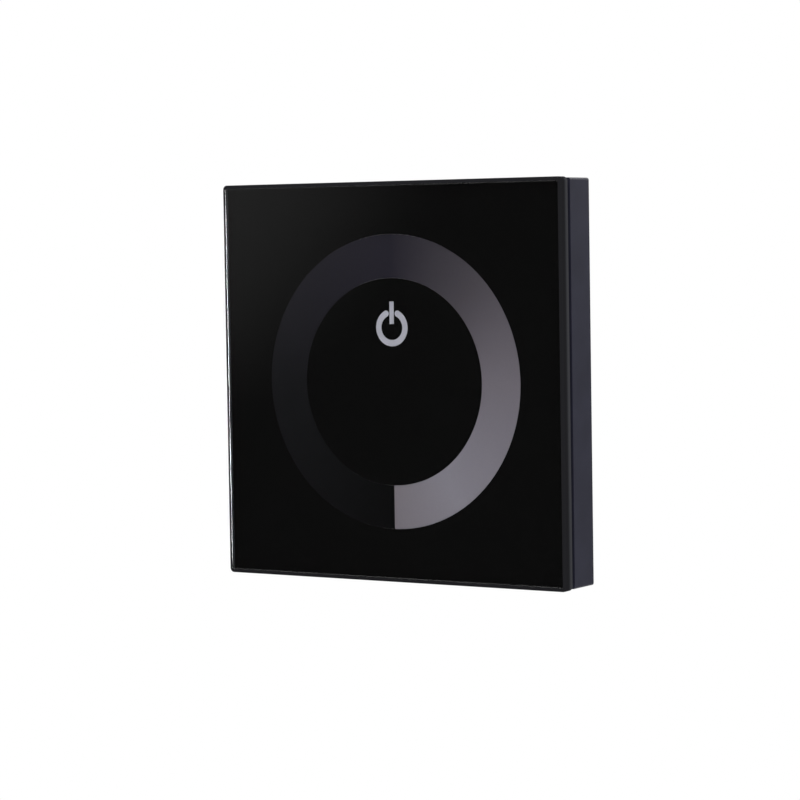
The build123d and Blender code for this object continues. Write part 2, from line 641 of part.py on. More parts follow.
# Rear housing, in the order a mould would give it: flange, ribs and pads, stepped box, bosses, holes
with BuildPart() as rear_housing:
    with BuildSketch(wall_plane(0)):
        RectangleRounded(FLANGE, FLANGE, FLANGE_CORNER_R)
    extrude(amount=FLANGE_H)
    with BuildSketch(wall_plane(0)):
        RectangleRounded(FLANGE - 2 * RIM_T, FLANGE - 2 * RIM_T, FLANGE_CORNER_R)
    extrude(amount=SKIN_BACK, mode=Mode.SUBTRACT)
    with BuildSketch(wall_plane(0)):
        with GridLocations(2 * RIB_X, 0, 2, 1):
            Rectangle(RIB_T, FLANGE - RIM_T)
        with GridLocations(0, 2 * RIB_Z, 1, 2):
            Rectangle(FLANGE - RIM_T, RIB_T)
        with Locations(*SLOT_PLACES):
            SlotOverall(HEAD_RECESS_LENGTH + 2 * SLOT_PAD_RIM, HEAD_RECESS_W + 2 * SLOT_PAD_RIM)
    extrude(amount=SKIN_BACK)
    with BuildSketch(wall_plane(FLANGE_H)):
        with GridLocations(2 * STOP_XZ, 2 * STOP_XZ, 2, 2):
            Circle(STOP_R)
    extrude(amount=WEB_BACK - FLANGE_H - STOP_GAP)

    with BuildSketch(wall_plane(SKIN_BACK)):
        RectangleRounded(BOX_W, BOX_H, BOX_CORNER_R)
    extrude(amount=BOX_BACK - SKIN_BACK)
    with BuildSketch(wall_plane(LEDGE_BACK)):
        with Locations((0, STEP_Z)):
            Rectangle(BOX_W, BOX_H, align=(Align.CENTER, Align.MAX))
    extrude(amount=BOX_BACK - LEDGE_BACK, mode=Mode.SUBTRACT)
    fillet(rear_housing.faces().sort_by(Axis.Y)[-1].edges(), BOX_BACK_R)

    with BuildSketch(wall_plane(FLANGE_H)):
        RectangleRounded(CAVITY_W, CAVITY_H, CAVITY_CORNER_R)
    extrude(amount=LEDGE_FRONT - FLANGE_H, mode=Mode.SUBTRACT)
    with BuildSketch(wall_plane(LEDGE_FRONT)):
        with Locations((0, CAVITY_H / 2)):
            upper_h = CAVITY_H / 2 - STEP_Z - BOX_WALL
            RectangleRounded(CAVITY_W, upper_h, CAVITY_CORNER_R, align=(Align.CENTER, Align.MAX))
    extrude(amount=CAVITY_BACK - LEDGE_FRONT, mode=Mode.SUBTRACT)
    with BuildSketch(wall_plane(FLANGE_H)):
        RectangleRounded(CAVITY_W + 2 * COVER_REBATE, CAVITY_H + 2 * COVER_REBATE, CAVITY_CORNER_R)
    extrude(amount=-COVER_T, mode=Mode.SUBTRACT)

    with BuildSketch(wall_plane(MAIN_BOARD_BACK)):
        with Locations(*[place for place in BOARD_SCREW_PLACES if place[1] > 0]):
            Circle(BOSS_R)
    extrude(amount=CAVITY_BACK - MAIN_BOARD_BACK)
    with BuildSketch(wall_plane(MAIN_BOARD_BACK)):
        with Locations(*[place for place in BOARD_SCREW_PLACES if place[1] < 0]):
            Circle(BOSS_R)
    extrude(amount=-(BOARD_PILOT_L + BOSS_END_T))
    with BuildSketch(wall_plane(COVER_BACK)):
        with Locations(*COVER_SCREW_PLACES):
            Circle(COVER_BOSS_R)
    extrude(amount=CAVITY_BACK - COVER_BACK)
    with Locations(*on_wall_plane(MAIN_BOARD_BACK, BOARD_SCREW_PLACES)):
        Hole(SCREW_R + SCREW_FIT, BOARD_PILOT_L)
    with Locations(*on_wall_plane(COVER_BACK, COVER_SCREW_PLACES)):
        Hole(SCREW_R + SCREW_FIT, COVER_PILOT_L)

    with BuildSketch(wall_plane(LEDGE_FRONT)):
        for left, width in zip(TERMINAL_LEFTS, TERMINAL_WIDTHS):
            with Locations((left + width / 2, TERMINAL_ENTRY_Z + TERMINAL_L / 2)):
                Rectangle(width + 2 * TERMINAL_CLEARANCE, TERMINAL_L + 2 * TERMINAL_CLEARANCE)
    extrude(amount=-LEDGE_T, mode=Mode.SUBTRACT)
    with BuildSketch(wall_plane(CAVITY_BACK)):
        with Locations((0, VENT_Z)):
            with GridLocations(VENT_PITCH, 0, VENT_COUNT, 1):
                SlotOverall(VENT_L, VENT_W, rotation=90)
    extrude(amount=-BOX_WALL, mode=Mode.SUBTRACT)
    with BuildSketch(wall_plane(0)):
        with Locations(*SLOT_PLACES):
            SlotOverall(SLOT_LENGTH, SLOT_W)
    extrude(amount=SKIN_BACK, mode=Mode.SUBTRACT)
    with BuildSketch(wall_plane(SKIN_BACK)):
        with Locations(*SLOT_PLACES):
            SlotOverall(HEAD_RECESS_LENGTH, HEAD_RECESS_W)
        for side in (-1, 1):
            slot_low = HOOK_Z - HOOK_T / 2 - HOOK_SIDE_GAP
            slot_high = HOOK_Z + HOOK_T / 2 + HOOK_NOSE_GAP
            with Locations((0, side * (slot_low + slot_high) / 2)):
                with GridLocations(2 * HOOK_X, 0, 2, 1):
                    Rectangle(HOOK_W + 2 * HOOK_SIDE_GAP, slot_high - slot_low)
    extrude(amount=SKIN_T, mode=Mode.SUBTRACT)
rear_housing.part.label = "rear_housing"


# Board cover: closes the front of the box, with a window for the socket and a hole for the sound
with BuildPart() as board_cover:
    with BuildSketch(wall_plane(FLANGE_H)):
        cover_grow = 2 * (COVER_REBATE - COVER_CLEARANCE)
        RectangleRounded(CAVITY_W + cover_grow, CAVITY_H + cover_grow, CAVITY_CORNER_R)
        with Locations((0, CONNECTOR_Z)):
            Rectangle(CONNECTOR_L + 2 * SOCKET_GAP, HEADER_W + 2 * SOCKET_GAP, mode=Mode.SUBTRACT)
        with Locations((BUZZER_X, BUZZER_Z)):
            Circle(SOUND_HOLE_R, mode=Mode.SUBTRACT)
    extrude(amount=-COVER_T)
    with Locations(*on_wall_plane(FLANGE_H, COVER_SCREW_PLACES)):
        CounterSinkHole(SCREW_HOLE_R, SCREW_HEAD_R + SCREW_FIT, counter_sink_angle=90)
board_cover.part.label = "board_cover"


# Self tapping screws: flat heads sunk in the cover, and pan heads on the main board
with BuildPart() as cover_screws:
    with BuildSketch(wall_plane(FLANGE_H)):
        with Locations(*COVER_SCREW_PLACES):
            Circle(SCREW_R)
    extrude(amount=-COVER_SCREW_L)
    chamfer(cover_screws.faces().group_by(Axis.Y)[-1].edges(), SCREW_TIP)
    with Locations(*on_wall_plane(FLANGE_H - (SCREW_HEAD_R - SCREW_R) / 2, COVER_SCREW_PLACES)):
        Cone(SCREW_R, SCREW_HEAD_R, SCREW_HEAD_R - SCREW_R)
    with BuildSketch(wall_plane(FLANGE_H)):
        with Locations(*COVER_SCREW_PLACES):
            Rectangle(2 * SCREW_HEAD_R, DRIVE_SLOT_W)
    extrude(amount=-DRIVE_SLOT_T, mode=Mode.SUBTRACT)
cover_screws.part.label = "cover_screws"

with BuildPart() as board_screws:
    with BuildSketch(wall_plane(MAIN_BOARD_OUT)):
        with Locations(*BOARD_SCREW_PLACES):
            Circle(SCREW_R)
    extrude(amount=-BOARD_SCREW_L)
    chamfer(board_screws.faces().group_by(Axis.Y)[-1].edges(), SCREW_TIP)
    with BuildSketch(wall_plane(MAIN_BOARD_OUT)):
        with Locations(*BOARD_SCREW_PLACES):
            Circle(SCREW_HEAD_R)
    extrude(amount=SCREW_HEAD_T)
    chamfer(board_screws.faces().group_by(Axis.Y)[0].edges(), SCREW_TIP)
    with BuildSketch(wall_plane(MAIN_BOARD_OUT + SCREW_HEAD_T)):
        with Locations(*BOARD_SCREW_PLACES):
            Rectangle(2 * SCREW_HEAD_R, DRIVE_SLOT_W)
    extrude(amount=-DRIVE_SLOT_T, mode=Mode.SUBTRACT)
board_screws.part.label = "board_screws"


# Main board, drilled for its screws, the terminals, the socket and the capacitors
with BuildPart() as main_board:
    with BuildSketch(wall_plane(MAIN_BOARD_BACK)):
        RectangleRounded(CAVITY_W - 2 * MAIN_BOARD_GAP, CAVITY_H - 2 * MAIN_BOARD_GAP, CAVITY_CORNER_R)
        with Locations(*BOARD_SCREW_PLACES):
            Circle(SCREW_HOLE_R, mode=Mode.SUBTRACT)
        with Locations(*COVER_SCREW_PLACES):
            Circle(COVER_BOSS_R + MAIN_BOARD_GAP, mode=Mode.SUBTRACT)
        with Locations(*[(x, TERMINAL_ENTRY_Z + CONTACT_LEG_L + CONTACT_T / 2) for x in POLES]):
            Circle(CONTACT_PIN_HOLE_R, mode=Mode.SUBTRACT)
        with Locations((0, CONNECTOR_Z)):
            with GridLocations(PIN_PITCH, 0, PIN_COUNT, 1):
                Circle(TAIL_HOLE_R, mode=Mode.SUBTRACT)
        with Locations(*CAPACITOR_LEG_PLACES):
            Circle(CAPACITOR_LEG_HOLE_R, mode=Mode.SUBTRACT)
    extrude(amount=MAIN_BOARD_T)
main_board.part.label = "main_board"


# Socket of the board to board connector: a tall block of cells, each with a forked contact
with BuildPart() as board_socket:
    with BuildSketch(wall_plane(MAIN_BOARD_OUT)):
        with Locations((0, CONNECTOR_Z)):
            Rectangle(CONNECTOR_L, HEADER_W)
    extrude(amount=SOCKET_H)
    with BuildSketch(wall_plane(MAIN_BOARD_OUT)):
        with Locations((0, CONNECTOR_Z)):
            with GridLocations(PIN_PITCH, 0, PIN_COUNT, 1):
                Rectangle(SOCKET_CELL_W, SOCKET_CELL_L)
    extrude(amount=SOCKET_H - SOCKET_ROOF, mode=Mode.SUBTRACT)
    with BuildSketch(wall_plane(SOCKET_TOP - SOCKET_ROOF)):
        with Locations((0, CONNECTOR_Z)):
            with GridLocations(PIN_PITCH, 0, PIN_COUNT, 1):
                Rectangle(PIN_SIDE + 2 * PIN_GAP, PIN_SIDE + 2 * PIN_GAP)
    extrude(amount=SOCKET_ROOF, mode=Mode.SUBTRACT)
board_socket.part.label = "board_socket"

with BuildPart() as socket_contacts:
    fork_w = PIN_SIDE + 2 * (PIN_GAP + CONTACT_LEAF_T)
    with BuildSketch(wall_plane(MAIN_BOARD_OUT)):
        with Locations((0, CONNECTOR_Z)):
            with GridLocations(PIN_PITCH, 0, PIN_COUNT, 1):
                Rectangle(fork_w, CONTACT_LEAF_W)
    extrude(amount=SOCKET_H - SOCKET_ROOF - CONTACT_BASE_T)
    with BuildSketch(wall_plane(MAIN_BOARD_OUT + CONTACT_BASE_T)):
        with Locations((0, CONNECTOR_Z)):
            with GridLocations(PIN_PITCH, 0, PIN_COUNT, 1):
                Rectangle(PIN_SIDE + 2 * PIN_GAP, CONTACT_LEAF_W)
    extrude(amount=SOCKET_H, mode=Mode.SUBTRACT)
    with BuildSketch(wall_plane(MAIN_BOARD_OUT)):
        with Locations((0, CONNECTOR_Z)):
            with GridLocations(PIN_PITCH, 0, PIN_COUNT, 1):
                Rectangle(CONTACT_TAIL, CONTACT_TAIL / 2)
    extrude(amount=-(MAIN_BOARD_T + CONTACT_TAIL_OUT))
socket_contacts.part.label = "socket_contacts"


# Parts on the main board that face the room
microcontroller = gull_wing_chip(MAIN_BOARD_OUT, 1, (MCU_X, MCU_Z), MCU_W, MCU_L, MCU_T, MCU_PINS_PER_SIDE)
microcontroller.part.label = "microcontroller"

with BuildPart() as voltage_regulator:
    with BuildSketch(wall_plane(MAIN_BOARD_OUT)):
        with Locations((REGULATOR_X, REGULATOR_Z)):
            Rectangle(REGULATOR_W, REGULATOR_L)
    extrude(amount=REGULATOR_T)
    chamfer(voltage_regulator.faces().sort_by(Axis.Y)[0].edges(), CHIP_BEVEL)
    with BuildSketch(wall_plane(MAIN_BOARD_OUT)):
        with Locations((REGULATOR_X, REGULATOR_Z - REGULATOR_L / 2)):
            with GridLocations(REGULATOR_LEAD_PITCH, 0, REGULATOR_LEADS, 1):
                Rectangle(REGULATOR_LEAD_W, REGULATOR_LEAD_L, align=(Align.CENTER, Align.MAX))
        with Locations((REGULATOR_X, REGULATOR_Z + REGULATOR_L / 2)):
            Rectangle(REGULATOR_TAB_W, REGULATOR_LEAD_L, align=(Align.CENTER, Align.MIN))
    extrude(amount=LEAD_T)
voltage_regulator.part.label = "voltage_regulator"

with BuildPart() as buzzer:
    with BuildSketch(wall_plane(MAIN_BOARD_OUT)):
        with Locations((BUZZER_X, BUZZER_Z)):
            Circle(BUZZER_R)
    extrude(amount=BUZZER_H)
    chamfer(buzzer.faces().sort_by(Axis.Y)[0].edges(), CHIP_BEVEL)
    with Locations(*on_wall_plane(MAIN_BOARD_OUT + BUZZER_H, [(BUZZER_X, BUZZER_Z)])):
        Hole(BUZZER_HOLE_R, BUZZER_HOLE_DEPTH)
buzzer.part.label = "buzzer"

with BuildPart() as board_passives:
    with BuildSketch(wall_plane(MAIN_BOARD_OUT)):
        with Locations((-BOARD_PASSIVE_X, BOARD_PASSIVE_Z), (BOARD_PASSIVE_X, BOARD_PASSIVE_Z)):
            with GridLocations(PASSIVE_PITCH_X, PASSIVE_PITCH_Z, BOARD_PASSIVE_COLUMNS, BOARD_PASSIVE_ROWS):
                Rectangle(PASSIVE_W, PASSIVE_L)
    extrude(amount=PASSIVE_T)
board_passives.part.label = "board_passives"


# Parts on the main board that face the back of the box
with BuildPart() as output_mosfets:
    with BuildSketch(behind_board(0)):
        with Locations((0, MOSFET_Z)):
            with GridLocations(MOSFET_PITCH, 0, MOSFET_COUNT, 1):
                Rectangle(MOSFET_W, MOSFET_L)
    extrude(amount=-MOSFET_T)
    chamfer(output_mosfets.faces().group_by(Axis.Y)[-1].edges(), MOSFET_BEVEL)
    with BuildSketch(behind_board(0)):
        with Locations((0, MOSFET_Z + MOSFET_L / 2)):
            with GridLocations(MOSFET_PITCH, 0, MOSFET_COUNT, 1):
                Rectangle(MOSFET_TAB_W, MOSFET_TAB_L, align=(Align.CENTER, Align.MIN))
        with Locations((0, MOSFET_Z - MOSFET_L / 2)):
            with GridLocations(MOSFET_PITCH, 0, MOSFET_COUNT, 1):
                with GridLocations(2 * MOSFET_LEAD_X, 0, 2, 1):
                    Rectangle(MOSFET_LEAD_W, MOSFET_LEAD_L, align=(Align.CENTER, Align.MAX))
    extrude(amount=-MOSFET_LEAD_T)
output_mosfets.part.label = "output_mosfets"

with BuildPart() as filter_capacitors:
    for x, z, can_r, can_h in CAPACITORS:
        with BuildSketch(Plane.YZ.offset(x)):
            with BuildLine():
                Polyline(
                    (-MAIN_BOARD_BACK, z),
                    (-MAIN_BOARD_BACK, z + can_r),
                    (-MAIN_BOARD_BACK + can_r / 4, z + can_r),
                    (-MAIN_BOARD_BACK + can_r / 4 + CAPACITOR_GROOVE, z + can_r - CAPACITOR_GROOVE),
                    (-MAIN_BOARD_BACK + can_r / 4 + 2 * CAPACITOR_GROOVE, z + can_r),
                    (-MAIN_BOARD_BACK + can_h - CAPACITOR_EDGE, z + can_r),
                    (-MAIN_BOARD_BACK + can_h, z + can_r - CAPACITOR_EDGE),
                    (-MAIN_BOARD_BACK + can_h, z),
                    close=True,
                )
            make_face()
        revolve(axis=Axis((x, 0, z), (0, 1, 0)))
    with BuildSketch(behind_board(0)):
        with Locations(*CAPACITOR_LEG_PLACES):
            Circle(CAPACITOR_LEG_R)
    extrude(amount=MAIN_BOARD_T + CAPACITOR_LEG_OUT)
filter_capacitors.part.label = "filter_capacitors"

with BuildPart() as power_inductor:
    with BuildSketch(behind_board(0)):
        with Locations((INDUCTOR_X, INDUCTOR_Z)):
            Rectangle(INDUCTOR_SIDE, INDUCTOR_SIDE)
    extrude(amount=-INDUCTOR_BASE_T)
    chamfer(power_inductor.edges().filter_by(Axis.Y), INDUCTOR_BASE_T)
    with BuildSketch(behind_board(INDUCTOR_BASE_T)):
        with Locations((INDUCTOR_X, INDUCTOR_Z)):
            Circle(INDUCTOR_CORE_R)
    extrude(amount=-(INDUCTOR_H - INDUCTOR_BASE_T))
    chamfer(power_inductor.faces().sort_by(Axis.Y)[-1].edges(), INDUCTOR_BASE_T / 2)
power_inductor.part.label = "power_inductor"


def terminal_block(block):
    """Housing of one screw terminal: a pocket, a wire entry and a screwdriver hole for each pole."""
    poles = pole_places(block)
    pocket_z = TERMINAL_ENTRY_Z + ENTRY_WALL_T + CAGE_POCKET_L / 2
    with BuildPart() as housing:
        with BuildSketch(Plane.YZ.offset(TERMINAL_LEFTS[block])):
            with BuildLine():
                Polyline(
                    (-MAIN_BOARD_BACK, TERMINAL_ENTRY_Z),
                    (-MAIN_BOARD_BACK + TERMINAL_SHOULDER_H, TERMINAL_ENTRY_Z),
                    (-MAIN_BOARD_BACK + TERMINAL_H, TERMINAL_ENTRY_Z + TERMINAL_SLOPE_L),
                    (-MAIN_BOARD_BACK + TERMINAL_H, TERMINAL_ENTRY_Z + TERMINAL_L),
                    (-MAIN_BOARD_BACK, TERMINAL_ENTRY_Z + TERMINAL_L),
                    close=True,
                )
            make_face()
        extrude(amount=TERMINAL_WIDTHS[block])
        with BuildSketch(behind_board(0)):
            with Locations(*[(x, pocket_z) for x in poles]):
                Rectangle(CAGE_W + 2 * CAGE_GAP, CAGE_POCKET_L)
        extrude(amount=-(TERMINAL_H - TERMINAL_ROOF_T), mode=Mode.SUBTRACT)
        with BuildSketch(behind_board(0)):
            channel_start = TERMINAL_ENTRY_Z + ENTRY_WALL_T - CONTACT_NOTCH - CONTACT_FIT
            channel_end = TERMINAL_ENTRY_Z + CONTACT_LEG_L + CONTACT_T + CONTACT_FIT
            with Locations(*[(x, (channel_start + channel_end) / 2) for x in poles]):
                Rectangle(CONTACT_W + 2 * CONTACT_FIT, channel_end - channel_start)
        extrude(amount=-CONTACT_TOP_H, mode=Mode.SUBTRACT)
        with Locations(*on_wall_plane(MAIN_BOARD_BACK - TERMINAL_H, [(x, CLAMP_Z) for x in poles])):
            Hole(ACCESS_HOLE_R, TERMINAL_ROOF_T)
        entry_h = CAGE_START_H + CAGE_FLOOR_T + WIRE_ROOM / 2
        with BuildSketch(Plane.XY.offset(TERMINAL_ENTRY_Z)):
            with Locations(*[(x, -MAIN_BOARD_BACK + entry_h) for x in poles]):
                RectangleRounded(ENTRY_W, ENTRY_H, ENTRY_CORNER_R)
        extrude(amount=ENTRY_WALL_T, mode=Mode.SUBTRACT)
        with BuildSketch(Plane.XY.offset(TERMINAL_ENTRY_Z)):
            with Locations(*[(x, -MAIN_BOARD_BACK + entry_h) for x in poles]):
                RectangleRounded(ENTRY_W + 2 * ENTRY_FUNNEL, ENTRY_H + 2 * ENTRY_FUNNEL, ENTRY_CORNER_R)
        extrude(amount=ENTRY_FUNNEL, taper=45, mode=Mode.SUBTRACT)
    return housing


input_terminal = terminal_block(0)
input_terminal.part.label = "input_terminal"
output_terminal = terminal_block(1)
output_terminal.part.label = "output_terminal"


# Contact bars: each runs through its cage, over the wire, and down through the main board
with BuildPart() as terminal_contacts:
    bar_start = TERMINAL_ENTRY_Z + ENTRY_WALL_T - CONTACT_NOTCH
    leg_start = TERMINAL_ENTRY_Z + CONTACT_LEG_L
    with BuildSketch(*[Plane.YZ.offset(x) for x in POLES]):
        with BuildLine():
            Polyline(
                (-MAIN_BOARD_BACK + CONTACT_H, bar_start),
                (-MAIN_BOARD_BACK + CONTACT_TOP_H, bar_start),
                (-MAIN_BOARD_BACK + CONTACT_TOP_H, leg_start + CONTACT_T),
                (-MAIN_BOARD_BACK, leg_start + CONTACT_T),
                (-MAIN_BOARD_BACK, leg_start),
                (-MAIN_BOARD_BACK + CONTACT_H, leg_start),
                close=True,
            )
        make_face()
    extrude(amount=CONTACT_W / 2, both=True)
    with BuildSketch(behind_board(0)):
        with Locations(*[(x, leg_start + CONTACT_T / 2) for x in POLES]):
            Rectangle(CONTACT_PIN_W, CONTACT_T)
    extrude(amount=MAIN_BOARD_T + CONTACT_PIN_OUT)
terminal_contacts.part.label = "terminal_contacts"


def wire_cage(x):
    """Rising cage of one pole: a folded steel loop, threaded at the top and toothed at the bottom."""
    cage_low = -MAIN_BOARD_BACK + CAGE_START_H
    jaw = cage_low + CAGE_FLOOR_T
    inner_w = CAGE_W - 2 * CAGE_SIDE_T
    with BuildPart() as cage:
        with BuildSketch(Plane.XY.offset(CLAMP_Z)):
            with Locations((x, cage_low + CAGE_H / 2)):
                RectangleRounded(CAGE_W, CAGE_H, CAGE_CORNER_R)
            with Locations((x, jaw)):
                inner_h = CAGE_H - CAGE_FLOOR_T - CAGE_TOP_T
                Rectangle(inner_w, inner_h, align=(Align.CENTER, Align.MIN), mode=Mode.SUBTRACT)
        extrude(amount=CAGE_L / 2, both=True)
        with BuildSketch(Plane.YZ.offset(x)):
            with Locations((jaw, CLAMP_Z)):
                with GridLocations(0, CAGE_L / (CAGE_TEETH + 1), 1, CAGE_TEETH):
                    Rectangle(CAGE_TOOTH * math.sqrt(2), CAGE_TOOTH * math.sqrt(2), rotation=45)
        extrude(amount=inner_w / 2, both=True, mode=Mode.SUBTRACT)
        with Locations(*on_wall_plane(-cage_low - CAGE_H, [(x, CLAMP_Z)])):
            Hole(CLAMP_SCREW_R + CLAMP_SCREW_FIT, CAGE_TOP_T)
    return cage


def clamp_screw(x):
    """Screw of one pole: its tip stands on the contact bar, its head under the screwdriver hole."""
    with BuildPart() as screw:
        with BuildSketch(behind_board(CONTACT_TOP_H + CLAMP_TIP_GAP)):
            with Locations((x, CLAMP_Z)):
                Circle(CLAMP_SCREW_R)
        extrude(amount=-(HEAD_BOTTOM_H - CONTACT_TOP_H - CLAMP_TIP_GAP))
        chamfer(screw.faces().sort_by(Axis.Y)[0].edges(), CLAMP_CHAMFER)
        with BuildSketch(behind_board(HEAD_BOTTOM_H)):
            with Locations((x, CLAMP_Z)):
                Circle(CLAMP_HEAD_R)
        extrude(amount=-CLAMP_HEAD_T)
        chamfer(screw.faces().sort_by(Axis.Y)[-1].edges(), CLAMP_CHAMFER)
        with BuildSketch(behind_board(HEAD_BOTTOM_H + CLAMP_HEAD_T)):
            with Locations((x, CLAMP_Z)):
                Rectangle(2 * CLAMP_HEAD_R, CLAMP_SLOT_W)
        extrude(amount=CLAMP_SLOT_T, mode=Mode.SUBTRACT)
    return screw


wire_cages = [wire_cage(x) for x in POLES]
terminal_screws = [clamp_screw(x) for x in POLES]
for number, (cage, screw) in enumerate(zip(wire_cages, terminal_screws), start=1):
    cage.part.label = f"wire_cage_{number}"
    screw.part.label = f"terminal_screw_{number}"


FRONT_PANEL = (
    glass_panel,
    ink_mask,
    brightness_ring,
    power_symbol,
    diffuser_sheet,
    glass_tape,
    touch_board,
    touch_pads,
    touch_chip,
    touch_passives,
    indicator_led,
    header_insulator,
    header_pins,
    front_frame,
    snap_hooks,
)
WALL_BASE = (
    rear_housing,
    board_cover,
    cover_screws,
    main_board,
    board_screws,
    board_socket,
    socket_contacts,
    microcontroller,
    voltage_regulator,
    buzzer,
    board_passives,
    output_mosfets,
    filter_capacitors,
    power_inductor,
    input_terminal,
    output_terminal,
    terminal_contacts,
)
os.makedirs("parts", exist_ok=True)
for piece in (*FRONT_PANEL, *WALL_BASE, *wire_cages, *terminal_screws):
    export_step(piece.part, f"parts/{piece.part.label}.step")
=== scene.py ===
"""Looks of the touch panel dimmer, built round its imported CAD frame. Lengths are in metres."""

import json
import logging
import math
from dataclasses import dataclass
from enum import Enum
from typing import Any, Optional, Sequence, Union

import bmesh
import bpy
from mathutils import Matrix, Vector

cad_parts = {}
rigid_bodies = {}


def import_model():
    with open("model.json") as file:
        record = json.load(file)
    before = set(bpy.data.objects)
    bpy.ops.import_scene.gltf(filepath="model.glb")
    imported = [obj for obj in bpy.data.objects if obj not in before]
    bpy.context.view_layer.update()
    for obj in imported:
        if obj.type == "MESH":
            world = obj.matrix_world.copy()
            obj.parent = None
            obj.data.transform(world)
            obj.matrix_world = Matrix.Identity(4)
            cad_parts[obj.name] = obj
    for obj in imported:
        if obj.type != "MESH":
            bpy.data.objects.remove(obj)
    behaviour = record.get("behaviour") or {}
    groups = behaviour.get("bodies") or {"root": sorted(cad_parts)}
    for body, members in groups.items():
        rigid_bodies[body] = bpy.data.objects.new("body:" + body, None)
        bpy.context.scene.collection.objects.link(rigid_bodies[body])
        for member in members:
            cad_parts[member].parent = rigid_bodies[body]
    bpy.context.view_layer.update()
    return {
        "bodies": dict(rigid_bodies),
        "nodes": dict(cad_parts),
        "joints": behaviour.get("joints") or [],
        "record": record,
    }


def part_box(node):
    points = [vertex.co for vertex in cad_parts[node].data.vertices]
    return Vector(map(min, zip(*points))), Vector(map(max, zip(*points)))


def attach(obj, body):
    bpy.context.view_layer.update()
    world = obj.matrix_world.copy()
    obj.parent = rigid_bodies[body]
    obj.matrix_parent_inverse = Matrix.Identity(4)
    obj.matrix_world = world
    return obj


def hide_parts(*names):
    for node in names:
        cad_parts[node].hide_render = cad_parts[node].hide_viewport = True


MM = 0.001
GLASS_FRONT = -12.6 * MM
log = logging.getLogger("touch_dimmer")

Colour = tuple[float, float, float]
Triple = tuple[float, float, float]
Ends = tuple[float, float]
Operand = Union["Value", float, int]


class Body(Enum):
    """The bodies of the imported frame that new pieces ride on."""

    WALL = "wall_base"
    FRONT = "front_panel"


class Bearing(Enum):
    """The direction that a brushed or turned finish runs in."""

    ALONG_X = (1.0, 0.06, 0.06)
    ALONG_Y = (0.06, 1.0, 0.06)
    ALONG_Z = (0.06, 0.06, 1.0)
    NONE = (1.0, 1.0, 1.0)


class Value:
    """One output socket; arithmetic written on it adds its Math nodes to the same tree."""

    def __init__(self, graph: "Graph", socket: bpy.types.NodeSocket) -> None:
        """Keeps the socket and the graph that it belongs to."""
        self.graph = graph
        self.socket = socket

    def __add__(self, other: Operand) -> "Value":
        """Sum of the two."""
        return self.graph.math("ADD", self, other)

    __radd__ = __add__

    def __sub__(self, other: Operand) -> "Value":
        """This value less the other."""
        return self.graph.math("SUBTRACT", self, other)

    def __rsub__(self, other: Operand) -> "Value":
        """The other less this value."""
        return self.graph.math("SUBTRACT", other, self)

    def __mul__(self, other: Operand) -> "Value":
        """Product of the two."""
        return self.graph.math("MULTIPLY", self, other)

    __rmul__ = __mul__

    def __truediv__(self, other: Operand) -> "Value":
        """This value over the other."""
        return self.graph.math("DIVIDE", self, other)

    def __abs__(self) -> "Value":
        """The value without its sign."""
        return self.graph.math("ABSOLUTE", self)

    def output(self, name: str) -> "Value":
        """Another output of the same node."""
        return Value(self.graph, self.socket.node.outputs[name])

    def step(self, low: float, high: float) -> "Value":
        """Smooth step from nothing at low to one at high.

        Args:
            low: Value at and below which the result is nothing.
            high: Value at and above which the result is one.

        Returns:
            The stepped value.
        """
        settings = {"interpolation_type": "SMOOTHSTEP"}
        ends = {"Value": self, "From Min": low, "From Max": high}
        return self.graph.node("ShaderNodeMapRange", settings, ends)


